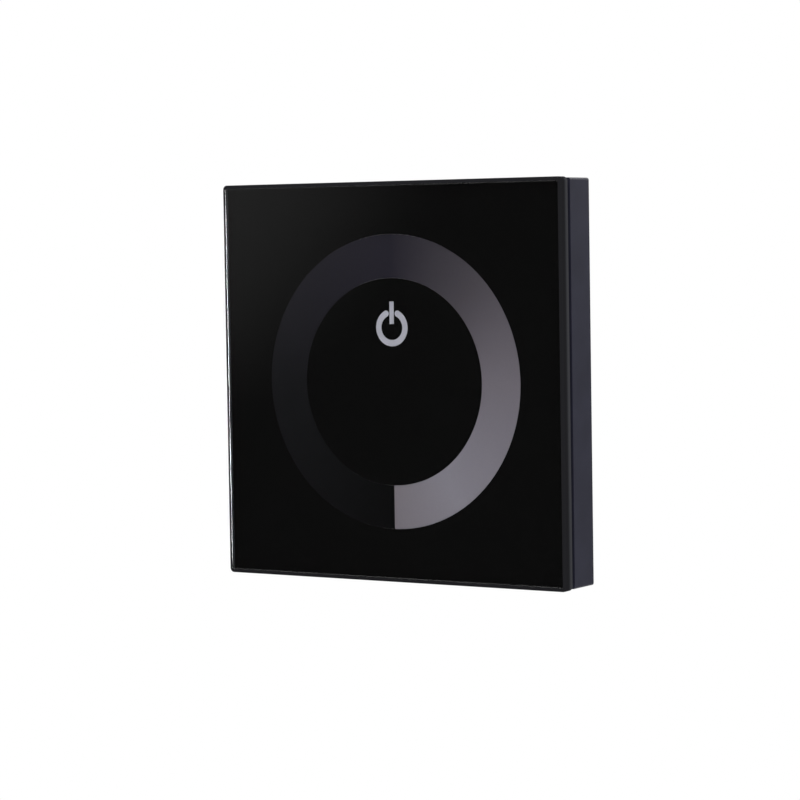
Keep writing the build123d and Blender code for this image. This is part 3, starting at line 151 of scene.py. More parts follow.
class Graph:
    """A node tree, of a material, the world or geometry, that is written as expressions."""

    def __init__(self, tree: bpy.types.NodeTree) -> None:
        """Clears the tree and keeps it."""
        self.tree = tree
        self.tree.nodes.clear()

    def node(
        self,
        kind: str,
        settings: Optional[dict[str, Any]] = None,
        sockets: Optional[dict[Any, Any]] = None,
        out: Union[int, str] = 0,
    ) -> Value:
        """Adds one node.

        Args:
            kind: The node's type.
            settings: Its properties, set before its sockets; stops is a ramp's list of place and colour.
            sockets: A value or link for each input, by name or number; a list links many to one input.
            out: The output that is wanted.

        Returns:
            That output.
        """
        node = self.tree.nodes.new(kind)
        for name, setting in (settings or {}).items():
            if name == "stops":
                self._fill_ramp(node.color_ramp, setting)
            else:
                setattr(node, name, setting)
        for key, given in (sockets or {}).items():
            for one in given if isinstance(given, list) else [given]:
                if isinstance(one, Value):
                    self.tree.links.new(one.socket, node.inputs[key])
                else:
                    node.inputs[key].default_value = one
        return Value(self, node.outputs[out]) if len(node.outputs) else None

    @staticmethod
    def _fill_ramp(ramp: bpy.types.ColorRamp, stops: Sequence[tuple[float, Colour]]) -> None:
        """Puts stops on a ramp, which starts with two.

        Args:
            ramp: The ramp.
            stops: Place and colour of each stop.
        """
        while len(ramp.elements) < len(stops):
            ramp.elements.new(0.5)
        for element, (place, colour) in zip(ramp.elements, stops):
            element.position = place
            element.color = (*colour, 1.0)

    def math(self, operation: str, *operands: Operand) -> Value:
        """Adds a Math node on one to three numbers or values."""
        return self.node("ShaderNodeMath", {"operation": operation}, dict(enumerate(operands)))

    def vector(self, operation: str, *operands: Any) -> Value:
        """Adds a Vector Math node; a plain tuple is a fixed vector."""
        return self.node("ShaderNodeVectorMath", {"operation": operation}, dict(enumerate(operands)))

    def towards(self, point: Value, direction: Triple) -> Value:
        """How far a point lies along a direction."""
        return self.vector("DOT_PRODUCT", point, direction).output("Value")

    def place(self, stretch: Triple = Bearing.NONE.value) -> Value:
        """Gives the point in the object's own frame.

        Args:
            stretch: Factor along each axis.

        Returns:
            The point.
        """
        point = self.node("ShaderNodeTexCoord", out="Object")
        if stretch == Bearing.NONE.value:
            return point
        return self.vector("MULTIPLY", point, stretch)

    def noise(self, grain: float, detail: float = 2.0, stretch: Triple = Bearing.NONE.value) -> Value:
        """Soft noise between nothing and one.

        Args:
            grain: Size of one grain in metres.
            detail: How many finer layers lie on it.
            stretch: Share of the grain's fineness along each axis.

        Returns:
            The noise.
        """
        sockets = {"Vector": self.place(stretch), "Scale": 1.0 / grain, "Detail": detail}
        return self.node("ShaderNodeTexNoise", {}, sockets)

    def cells(self, pitch: float, feature: str = "F1", distance: str = "EUCLIDEAN") -> Value:
        """Distance field of scattered cells of the given pitch."""
        settings = {"feature": feature, "distance": distance}
        return self.node("ShaderNodeTexVoronoi", settings, {"Vector": self.place(), "Scale": 1.0 / pitch})

    def blend(self, factor: Operand, low: Any, high: Any) -> Value:
        """Mixes two colours.

        Args:
            factor: Nothing for the first colour, one for the second.
            low: The first colour, as a tuple of three or a link.
            high: The second colour, likewise.

        Returns:
            The mixed colour.
        """
        ends = [one if isinstance(one, Value) else (*one, 1.0) for one in (low, high)]
        settings = {"data_type": "RGBA"}
        return self.node("ShaderNodeMix", settings, {0: factor, 6: ends[0], 7: ends[1]}, out=2)

    def relief(self, height: Value, depth: float, strength: float = 1.0) -> Value:
        """Normal that follows a height field whose full swing is depth metres."""
        sockets = {"Strength": strength, "Distance": depth, "Height": height}
        return self.node("ShaderNodeBump", {}, sockets)

    def finish(self, **sockets: Any) -> None:
        """Ends a material in one Principled surface.

        Args:
            sockets: Value or link of each input, with underscores for the spaces in its name.
        """
        named = {name.replace("_", " "): given for name, given in sockets.items()}
        for name in ("Base Color", "Emission Color"):
            if isinstance(named.get(name), tuple):
                named[name] = (*named[name], 1.0)
        surface = self.node("ShaderNodeBsdfPrincipled", {}, named)
        self.node("ShaderNodeOutputMaterial", {}, {"Surface": surface})


def darker(colour: Colour, share: float) -> Colour:
    """The colour at a share of its strength."""
    return tuple(share * channel for channel in colour)


@dataclass(frozen=True)
class Finish:
    """A finish, named after the record's slot that it fills."""

    slot: str

    def material(self) -> bpy.types.Material:
        """Gives the finish's material, made the first time that it is asked for.

        Returns:
            The material.
        """
        name = self.slot + "_finish"
        known = bpy.data.materials.get(name)
        if known is not None:
            return known
        material = bpy.data.materials.new(name)
        material.use_nodes = True
        self.paint(Graph(material.node_tree))
        return material

    def paint(self, graph: Graph) -> None:
        """Writes the finish's nodes."""
        raise NotImplementedError


@dataclass(frozen=True)
class MouldedPlastic(Finish):
    """Plastic from a textured mould: a fine sparked grain, faint flow clouds, and painted shade in the dips
    of the grain.
    """

    colour: Colour
    grain: float = 0.22 * MM
    depth: float = 0.012 * MM
    roughness: float = 0.5
    shine: float = 0.5

    def paint(self, graph: Graph) -> None:
        """Writes the finish's nodes.

        Args:
            graph: The material's graph.
        """
        pits = graph.noise(self.grain, 3.0)
        clouds = graph.noise(9.0 * MM, 2.0)
        # Painted shade: the dips of the grain are coloured darker; the flow clouds are the plastic's own
        # uneven tone.
        clouds_and_dip_shade = (0.35 * pits + 0.65 * clouds).step(0.3, 0.7)
        base = graph.blend(clouds_and_dip_shade, darker(self.colour, 0.86), darker(self.colour, 1.12))
        graph.finish(
            Base_Color=base,
            Roughness=self.roughness - 0.06 + 0.14 * pits,
            Specular_IOR_Level=self.shine,
            Normal=graph.relief(pits, self.depth),
        )


@dataclass(frozen=True)
class ClearGlass(Finish):
    """Polished float glass, with wipe marks so faint that only a reflection shows them."""

    tint: Colour = (0.985, 0.995, 0.99)

    def paint(self, graph: Graph) -> None:
        """Writes the finish's nodes.

        Args:
            graph: The material's graph.
        """
        wipes = graph.noise(14.0 * MM, 3.0, Bearing.ALONG_Z.value)
        graph.finish(
            Base_Color=self.tint,
            Roughness=0.006 * wipes.step(0.45, 0.75),
            IOR=1.5,
            Transmission_Weight=1.0,
        )


@dataclass(frozen=True)
class GroundEdge(Finish):
    """Edge of the glass left by the wheel; its colour is painted shade near the front and painted light,
    paler, towards its back.
    """

    # The dark and pale colours are painted shade and painted light on the glass edge, not a change in the
    # glass itself.
    dark_until: float = GLASS_FRONT + 1.2 * MM
    pale_from: float = GLASS_FRONT + 2.3 * MM
    dark: Colour = (0.016, 0.016, 0.018)
    pale: Colour = (0.048, 0.049, 0.054)

    def paint(self, graph: Graph) -> None:
        """Writes the finish's nodes.

        Args:
            graph: The material's graph.
        """
        grind = graph.noise(0.1 * MM, 3.0, (0.25, 1.0, 0.25))
        depth = graph.node("ShaderNodeSeparateXYZ", {}, {0: graph.place()}).output("Y")
        # Painted shade and light: the edge is coloured dark at the front and pale towards the back.
        behind = (depth + 0.1 * MM * (grind - 0.5)).step(self.dark_until, self.pale_from)
        graph.finish(
            Base_Color=graph.blend(behind, self.dark, self.pale),
            Roughness=0.6 + 0.1 * grind,
            Specular_IOR_Level=0.0,
            Normal=graph.relief(grind, 0.0015 * MM),
        )


@dataclass(frozen=True)
class PrintedInk(Finish):
    """Screen printed ink behind the glass, with the screen's fine dots in its strength."""

    colour: Colour
    unevenness: float = 0.04

    def paint(self, graph: Graph) -> None:
        """Writes the finish's nodes.

        Args:
            graph: The material's graph.
        """
        mottle = graph.noise(0.5 * MM, 3.0)
        thin, thick = (darker(self.colour, 1 + sign * self.unevenness) for sign in (-1, 1))
        base = graph.blend(mottle, thin, thick)
        graph.finish(Base_Color=base, Roughness=0.45 + 0.1 * mottle, Specular_IOR_Level=0.0)


@dataclass(frozen=True)
class RingInk(Finish):
    """Grey print that is brightest at the cut below the dial and fades to black once round it."""

    stops: tuple[tuple[float, Colour], ...]

    def paint(self, graph: Graph) -> None:
        """Writes the finish's nodes.

        Args:
            graph: The material's graph.
        """
        parts = graph.node("ShaderNodeSeparateXYZ", {}, {0: graph.place()})
        angle = graph.math("ARCTAN2", parts, 0 - parts.output("Z"))
        turn = graph.math("FRACT", angle / math.tau + 1.0)
        fade = graph.node("ShaderNodeValToRGB", {"stops": self.stops}, {"Fac": turn})
        dots = graph.noise(0.35 * MM, 2.0)
        sockets = {0: fade, "Scale": 0.95 + 0.1 * dots}
        grained = graph.node("ShaderNodeVectorMath", {"operation": "SCALE"}, sockets)
        graph.finish(Base_Color=grained, Roughness=0.5 + 0.1 * dots, Specular_IOR_Level=0.0)


@dataclass(frozen=True)
class SolderMask(Finish):
    """Green mask over copper: square-cornered traces stand up in it, with pour between them."""

    colour: Colour = (0.008, 0.105, 0.04)
    trace_colour: Colour = (0.02, 0.2, 0.075)
    pitch: float = 3.2 * MM

    def paint(self, graph: Graph) -> None:
        """Writes the finish's nodes.

        Args:
            graph: The material's graph.
        """
        near = graph.cells(self.pitch, "F1", "MANHATTAN")
        far = graph.cells(self.pitch, "F2", "MANHATTAN")
        lane = 1 - (far - near).step(0.05, 0.075)
        fine = 1 - graph.cells(self.pitch / 3, "DISTANCE_TO_EDGE").step(0.03, 0.05)
        copper = graph.math("MAXIMUM", 1 - lane, fine * 0.6)
        weave = graph.noise(0.4 * MM, 2.0)
        base = graph.blend(copper, self.colour, self.trace_colour)
        graph.finish(
            Base_Color=base,
            Roughness=0.24 + 0.12 * weave,
            Normal=graph.relief(copper + 0.15 * weave, 0.03 * MM),
        )


@dataclass(frozen=True)
class PlatedMetal(Finish):
    """Plated or drawn metal: fine lines along its bearing and slightly duller patches."""

    colour: Colour
    roughness: float = 0.28
    bearing: Bearing = Bearing.ALONG_Z
    line: float = 0.05 * MM

    def paint(self, graph: Graph) -> None:
        """Writes the finish's nodes.

        Args:
            graph: The material's graph.
        """
        lines = graph.noise(self.line, 2.0, self.bearing.value)
        patches = graph.noise(1.5 * MM, 3.0).step(0.35, 0.7)
        base = graph.blend(patches, darker(self.colour, 0.82), self.colour)
        graph.finish(
            Base_Color=base,
            Metallic=1.0,
            Roughness=self.roughness + 0.12 * lines + 0.08 * patches,
            Normal=graph.relief(lines, 0.003 * MM, 0.6),
        )


@dataclass(frozen=True)
class CastResin(Finish):
    """Moulded epoxy or ferrite: dense, with filler specks and a slight orange peel."""

    colour: Colour
    speck_colour: Colour
    roughness: float = 0.55

    def paint(self, graph: Graph) -> None:
        """Writes the finish's nodes.

        Args:
            graph: The material's graph.
        """
        specks = 1 - graph.cells(0.28 * MM).step(0.12, 0.3)
        peel = graph.noise(0.16 * MM, 3.0)
        base = graph.blend(specks * peel, self.colour, self.speck_colour)
        graph.finish(
            Base_Color=base,
            Roughness=self.roughness + 0.15 * (peel - 0.5),
            Normal=graph.relief(peel, 0.01 * MM),
        )


@dataclass(frozen=True)
class TippedCeramic(Finish):
    """Small parts soldered at both ends: a brown or dark body between tinned caps."""

    body_colour: Colour
    tin_colour: Colour
    pitch: float
    length: float

    def paint(self, graph: Graph) -> None:
        """Writes the finish's nodes.

        Args:
            graph: The material's graph.
        """
        parts = graph.node("ShaderNodeSeparateXYZ", {}, {0: graph.place()})
        across = abs(graph.math("WRAP", parts, self.pitch / 2, -self.pitch / 2))
        tin = across.step(0.27 * self.length, 0.3 * self.length)
        grain = graph.noise(0.1 * MM, 2.0)
        body = graph.blend(grain, darker(self.body_colour, 0.85), darker(self.body_colour, 1.1))
        graph.finish(
            Base_Color=graph.blend(tin, body, self.tin_colour),
            Metallic=tin,
            Roughness=0.35 + 0.1 * grain,
        )


@dataclass(frozen=True)
class MilkyFilm(Finish):
    """Translucent sheet with a fine fibrous haze."""

    colour: Colour

    def paint(self, graph: Graph) -> None:
        """Writes the finish's nodes.

        Args:
            graph: The material's graph.
        """
        haze = graph.noise(0.6 * MM, 4.0)
        base = graph.blend(haze, darker(self.colour, 0.93), self.colour)
        graph.finish(Base_Color=base, Roughness=0.55 + 0.15 * haze, Normal=graph.relief(haze, 0.005 * MM))


@dataclass(frozen=True)
class CellFoam(Finish):
    """Dense black foam with open cells along its cut edges."""

    colour: Colour

    def paint(self, graph: Graph) -> None:
        """Writes the finish's nodes.

        Args:
            graph: The material's graph.
        """
        # Painted shade: the hollows of the open cells are coloured darker than their rims.
        cell = graph.cells(0.14 * MM).step(0.1, 0.6)
        base = graph.blend(cell, darker(self.colour, 0.5), darker(self.colour, 1.3))
        graph.finish(Base_Color=base, Roughness=0.85 + 0.1 * cell, Normal=graph.relief(cell, 0.03 * MM))


@dataclass(frozen=True)
class SleevedCan(Finish):
    """Electrolytic capacitor: a dark sleeve round the side with one pale stripe, bare metal on top."""

    metal: Colour = (0.75, 0.76, 0.78)
    sleeve: Colour = (0.012, 0.014, 0.02)
    stripe: Colour = (0.45, 0.46, 0.48)

    def paint(self, graph: Graph) -> None:
        """Writes the finish's nodes.

        Args:
            graph: The material's graph.
        """
        facing = graph.node("ShaderNodeSeparateXYZ", {}, {0: graph.node("ShaderNodeTexCoord", out="Normal")})
        side = 1 - abs(facing.output("Y")).step(0.6, 0.8)
        striped = (0 - facing).step(0.86, 0.9)
        wrap = graph.blend(striped, self.sleeve, self.stripe)
        drawn = graph.noise(0.06 * MM, 2.0, Bearing.ALONG_Y.value)
        graph.finish(
            Base_Color=graph.blend(side, self.metal, wrap),
            Metallic=1 - side,
            Roughness=0.3 + 0.12 * drawn,
            Normal=graph.relief(drawn, 0.003 * MM),
        )


@dataclass(frozen=True)
class LampBody(Finish):
    """Small white lamp with a clear lens dome."""

    colour: Colour = (0.86, 0.86, 0.8)

    def paint(self, graph: Graph) -> None:
        """Writes the finish's nodes.

        Args:
            graph: The material's graph.
        """
        haze = graph.noise(0.25 * MM, 2.0)
        base = graph.blend(haze, darker(self.colour, 0.9), self.colour)
        graph.finish(Base_Color=base, Roughness=0.12 + 0.1 * haze, Coat_Weight=0.5)


COARSE_GRAIN = {"grain": 0.35 * MM, "depth": 0.02 * MM, "roughness": 0.55}
FINE_GRAIN = {"grain": 0.15 * MM, "depth": 0.006 * MM, "roughness": 0.4}
GLOSSY_GRAIN = {"grain": 0.2 * MM, "depth": 0.006 * MM, "roughness": 0.34}
RING_STOPS = (
    (0.0, (0.33, 0.3, 0.335)),
    (0.09, (0.4, 0.38, 0.44)),
    (0.25, (0.275, 0.25, 0.29)),
    (0.375, (0.12, 0.108, 0.127)),
    (0.5, (0.033, 0.03, 0.044)),
    (0.75, (0.0135, 0.0135, 0.016)),
    (1.0, (0.003, 0.003, 0.0035)),
)
FINISHES = {
    finish.slot: finish
    for finish in (
        ClearGlass("clear_glass"),
        GroundEdge("ground_edge"),
        PrintedInk("black_ink", (0.0022, 0.0022, 0.0022)),
        RingInk("ring_ink", RING_STOPS),
        PrintedInk("symbol_ink", (0.73, 0.73, 0.83)),
        MilkyFilm("diffuser_film", (0.8, 0.8, 0.78)),
        CellFoam("foam_tape", (0.02, 0.02, 0.02)),
        MouldedPlastic("frame_plastic", (0.0233, 0.0236, 0.04), roughness=0.46, shine=0.2),
        MouldedPlastic("housing_plastic", (0.05, 0.05, 0.055), **COARSE_GRAIN),
        SolderMask("board_mask"),
        PlatedMetal("copper", (0.78, 0.42, 0.24), 0.32, Bearing.NONE, 0.2 * MM),
        CastResin("chip_epoxy", (0.02, 0.02, 0.022), (0.05, 0.05, 0.052)),
        TippedCeramic("component_ceramic", (0.3, 0.2, 0.12), (0.75, 0.75, 0.73), 3 * MM, 1.6 * MM),
        LampBody("lamp_white"),
        MouldedPlastic("connector_black", (0.02, 0.02, 0.02), **FINE_GRAIN),
        PlatedMetal("gold_pins", (0.83, 0.62, 0.24), 0.22, Bearing.ALONG_Y),
        MouldedPlastic("terminal_green", (0.02, 0.28, 0.1), **GLOSSY_GRAIN),
        PlatedMetal("tinned_brass", (0.72, 0.7, 0.62), 0.3, Bearing.ALONG_Z),
        PlatedMetal("nickel_steel", (0.72, 0.7, 0.66), 0.22, Bearing.ALONG_X),
        PlatedMetal("zinc_steel", (0.62, 0.63, 0.65), 0.3, Bearing.NONE, 0.15 * MM),
        SleevedCan("can_aluminium"),
        CastResin("ferrite", (0.075, 0.075, 0.08), (0.12, 0.12, 0.125), 0.7),
    )
}


def link(name: str, mesh: bpy.types.Mesh) -> bpy.types.Object:
    """Puts a mesh into the scene as an object of the same name.

    Args:
        name: The name.
        mesh: The mesh.

    Returns:
        The object.
    """
    piece = bpy.data.objects.new(name, mesh)
    mesh.name = name
    bpy.context.scene.collection.objects.link(piece)
    return piece


def settle(piece: bpy.types.Object) -> bpy.types.Object:
    """Replaces an object by its mesh with every modifier worked into it.

    Args:
        piece: The object, which is removed.

    Returns:
        The plain object, under the same name.
    """
    name = piece.name
    graph = bpy.context.evaluated_depsgraph_get()
    mesh = bpy.data.meshes.new_from_object(piece.evaluated_get(graph), depsgraph=graph)
    bpy.data.objects.remove(piece)
    return link(name, mesh)


def board(piece: bpy.types.Object, body: Union[Body, str], slot: str, *nodes: str) -> None:
    """Ties a new piece to the frame.

    Args:
        piece: The new piece.
        body: The body that it rides on.
        slot: The record's slot that it fills; it is not used.
        nodes: The CAD nodes that it stands for.
    """
    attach(piece, body.value if isinstance(body, Body) else body)
    if nodes:
        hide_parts(*nodes)
    log.info("%s rides on %s", piece.name, body)


@dataclass
class SoftShell:
    """A moulded or stamped part: its CAD shape with the small radii that its mould or die leaves."""

    node: str
    body: Union[Body, str]
    slot: str
    radius: float
    merge_distance: float = 0.002 * MM
    flat_angle: float = math.radians(0.5)
    edge_angle: float = math.radians(35)
    smooth_angle: float = math.radians(40)
    segments: int = 2

    def build(self, frame: dict[str, Any]) -> None:
        """Makes the softened copy and puts it in its node's place.

        Args:
            frame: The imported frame.
        """
        shape = bmesh.new()
        shape.from_mesh(frame["nodes"][self.node].data)
        bmesh.ops.remove_doubles(shape, verts=shape.verts, dist=self.merge_distance)
        bmesh.ops.dissolve_limit(
            shape,
            angle_limit=self.flat_angle,
            use_dissolve_boundaries=False,
            verts=shape.verts,
            edges=shape.edges,
        )
        mesh = bpy.data.meshes.new(self.node + "_shell")
        shape.to_mesh(mesh)
        shape.free()
        piece = link(self.node + "_shell", mesh)
        bevel = piece.modifiers.new("soft_edges", "BEVEL")
        bevel.width = self.radius
        bevel.segments = self.segments
        bevel.limit_method = "ANGLE"
        bevel.angle_limit = self.edge_angle
        bevel.use_clamp_overlap = True
        bevel.miter_outer = "MITER_ARC"
        piece = settle(piece)
        piece.data.shade_smooth()
        piece.data.set_sharp_from_angle(angle=self.smooth_angle)
        weighted = piece.modifiers.new("flat_faces", "WEIGHTED_NORMAL")
        weighted.mode = "FACE_AREA"
        weighted.weight = 50
        weighted.keep_sharp = True
        piece = settle(piece)
        piece.data.materials.append(FINISHES[self.slot].material())
        board(piece, self.body, self.slot, self.node)


@dataclass
class GlassPlate:
    """The glass: a square plate with slightly rounded corners, ground edges and a polished front arris."""

    side: float = 86.0 * MM
    front: float = GLASS_FRONT
    back: float = -9.57 * MM
    corner: float = 1.0 * MM
    ground_arris: tuple[float, float] = (0.8 * MM, 0.37 * MM)
    polished_arris: tuple[float, float] = (0.2 * MM, 0.075 * MM)
    rear_arris: tuple[float, float] = (0.36 * MM, 0.2 * MM)
    edge_radius: float = 0.03 * MM
    edge_angle: float = math.radians(10)
    edge_segments: int = 2
    corner_steps: int = 12
    seam_distance: float = 0.001 * MM
    merge_distance: float = 0.01 * MM
    face_above: float = 0.9
    polished_above: float = 0.915
    back_below: float = -0.95

    def tree(self) -> bpy.types.NodeTree:
        """Writes the node tree that draws the plate from its named sizes.

        Returns:
            The tree.
        """
        tree = bpy.data.node_groups.new("glass_plate_rule", "GeometryNodeTree")
        graph = Graph(tree)
        for name in ("Side", "Thickness", "Corner Radius", "Front"):
            tree.interface.new_socket(name, in_out="INPUT", socket_type="NodeSocketFloat")
        tree.interface.new_socket("Geometry", in_out="OUTPUT", socket_type="NodeSocketGeometry")
        side = graph.node("NodeGroupInput", out="Side")
        outline = graph.node("GeometryNodeCurvePrimitiveQuadrilateral", {}, {"Width": side, "Height": side})
        rounded = graph.node(
            "GeometryNodeFilletCurve",
            {"mode": "POLY"},
            {
                "Curve": outline,
                "Radius": side.output("Corner Radius"),
                "Count": self.corner_steps,
                "Limit Radius": True,
            },
        )
        face = graph.node("GeometryNodeFillCurve", {"mode": "NGONS"}, {"Curve": rounded})
        raised = graph.node(
            "GeometryNodeExtrudeMesh",
            {"mode": "FACES"},
            {"Mesh": face, "Offset Scale": side.output("Thickness"), "Individual": False},
        )
        floor = graph.node("GeometryNodeFlipFaces", {}, {"Mesh": face})
        plate = graph.node("GeometryNodeJoinGeometry", {}, {"Geometry": [raised, floor]})
        seams = {"Geometry": plate, "Distance": self.seam_distance}
        closed = graph.node("GeometryNodeMergeByDistance", {}, seams)
        depth = side.output("Front") + side.output("Thickness")
        middle = graph.node("ShaderNodeCombineXYZ", {}, {"Y": depth})
        stood = graph.node(
            "GeometryNodeTransform",
            {},
            {"Geometry": closed, "Translation": middle, "Rotation": (math.pi / 2, 0.0, 0.0)},
        )
        real = graph.node("GeometryNodeRealizeInstances", {}, {"Geometry": stood})
        glass = FINISHES["clear_glass"].material()
        dressed = graph.node("GeometryNodeSetMaterial", {}, {"Geometry": real, "Material": glass})
        graph.node("NodeGroupOutput", {}, {"Geometry": dressed})
        return tree

    def build(self) -> None:
        """Draws the plate, grinds its edges and puts it in the glass panel's place."""
        piece = link("glass_plate", bpy.data.meshes.new("glass_plate"))
        rule = piece.modifiers.new("plate", "NODES")
        rule.node_group = self.tree()
        sizes = {
            "Side": self.side,
            "Thickness": self.back - self.front,
            "Corner Radius": self.corner,
            "Front": self.front,
        }
        set_inputs(rule, sizes)
        piece = settle(piece)
        piece.data.materials.clear()
        for slot in ("clear_glass", "ground_edge"):
            piece.data.materials.append(FINISHES[slot].material())
        self.grind(piece.data)
        bevel = piece.modifiers.new("worn_edges", "BEVEL")
        bevel.width = self.edge_radius
        bevel.segments = self.edge_segments
        bevel.limit_method = "ANGLE"
        bevel.angle_limit = self.edge_angle
        bevel.use_clamp_overlap = True
        bevel.harden_normals = True
        piece.data.shade_smooth()
        piece = settle(piece)
        for polygon in piece.data.polygons:
            facing_out = -polygon.normal.y
            clear = facing_out > self.polished_above or facing_out < self.back_below
            polygon.material_index = 0 if clear else 1
        board(piece, Body.FRONT, "clear_glass", "glass_panel")

    def grind(self, mesh: bpy.types.Mesh) -> None:
        """Cuts the two shallow facets round the front of the plate and the one round its back.

        The front facets are together as wide as the corner radius, so their inner corners meet in a point.

        Args:
            mesh: The plate's mesh, which is changed.
        """
        shape = bmesh.new()
        shape.from_mesh(mesh)
        for facing, cuts in ((-1, (self.ground_arris, self.polished_arris)), (1, (self.rear_arris,))):
            face = next(face for face in shape.faces if facing * face.normal.y > self.face_above)
            fall = sum(depth for _, depth in cuts)
            for width, depth in cuts:
                for vert in face.verts:
                    vert.co.y -= facing * fall
                bmesh.ops.inset_individual(shape, faces=[face], thickness=width, use_even_offset=True)
                for vert in face.verts:
                    vert.co.y += facing * fall
                fall -= depth
        bmesh.ops.remove_doubles(shape, verts=shape.verts, dist=self.merge_distance)
        shape.to_mesh(mesh)
        shape.free()


def set_inputs(modifier: bpy.types.NodesModifier, values: dict[str, Any]) -> None:
    """Sets a Geometry Nodes modifier's inputs by their sockets' identifiers.

    Args:
        modifier: The modifier.
        values: A value for each input's name.
    """
    for item in modifier.node_group.interface.items_tree:
        if item.item_type == "SOCKET" and item.in_out == "INPUT" and item.name in values:
            modifier[item.identifier] = values[item.name]


@dataclass
class ThreadedShank:
    """The thread of one screw, wound as a spiral ridge on the CAD's plain shank."""

    name: str
    body: Union[Body, str]
    slot: str
    radius: float
    ridge: float
    pitch: float
    length: float
    start: Vector
    turn_points: int = 20
    ridge_sides: int = 4

    def tree(self) -> bpy.types.NodeTree:
        """Gives the node tree shared by all threads, written the first time.

        Returns:
            The tree.
        """
        known = bpy.data.node_groups.get("thread_rule")
        if known is not None:
            return known
        tree = bpy.data.node_groups.new("thread_rule", "GeometryNodeTree")
        graph = Graph(tree)
        for name in ("Radius", "Ridge", "Pitch", "Length"):
            tree.interface.new_socket(name, in_out="INPUT", socket_type="NodeSocketFloat")
        tree.interface.new_socket("Place", in_out="INPUT", socket_type="NodeSocketVector")
        tree.interface.new_socket("Finish", in_out="INPUT", socket_type="NodeSocketMaterial")
        tree.interface.new_socket("Geometry", in_out="OUTPUT", socket_type="NodeSocketGeometry")
        given = graph.node("NodeGroupInput", out="Radius")
        turns = given.output("Length") / given.output("Pitch")
        spiral = graph.node(
            "GeometryNodeCurveSpiral",
            {},
            {
                "Resolution": self.turn_points,
                "Rotations": turns,
                "Start Radius": given,
                "End Radius": given,
                "Height": given.output("Length"),
            },
        )
        section = {"Resolution": self.ridge_sides, "Radius": given.output("Ridge")}
        ridge = graph.node("GeometryNodeCurvePrimitiveCircle", {}, section)
        swept = {"Curve": spiral, "Profile Curve": ridge, "Fill Caps": True}
        wound = graph.node("GeometryNodeCurveToMesh", {}, swept)
        stood = graph.node(
            "GeometryNodeTransform",
            {},
            {"Geometry": wound, "Translation": given.output("Place"), "Rotation": (-math.pi / 2, 0.0, 0.0)},
        )
        real = graph.node("GeometryNodeRealizeInstances", {}, {"Geometry": stood})
        finish = {"Geometry": real, "Material": given.output("Finish")}
        dressed = graph.node("GeometryNodeSetMaterial", {}, finish)
        graph.node("NodeGroupOutput", {}, {"Geometry": dressed})
        return tree

    def build(self) -> None:
        """Winds the thread and ties it to its body."""
        piece = link(self.name, bpy.data.meshes.new(self.name))
        rule = piece.modifiers.new("thread", "NODES")
        rule.node_group = self.tree()
        sizes = {
            "Radius": self.radius,
            "Ridge": self.ridge,
            "Pitch": self.pitch,
            "Length": self.length,
            "Place": self.start,
            "Finish": FINISHES[self.slot].material(),
        }
        set_inputs(rule, sizes)
        piece = settle(piece)
        piece.data.shade_smooth()
        board(piece, self.body, self.slot)


@dataclass
class CarriedNodes:
    """CAD nodes whose shape is right as packed, and the finish of each."""

    finishes: dict[str, str]

    def build(self, frame: dict[str, Any]) -> None:
        """Dresses the nodes.

        Args:
            frame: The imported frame.
        """
        for node, slot in self.finishes.items():
            material = FINISHES[slot].material()
            for place in frame["nodes"][node].material_slots:
                place.material = material
            log.info("%s keeps its shape in %s", node, slot)


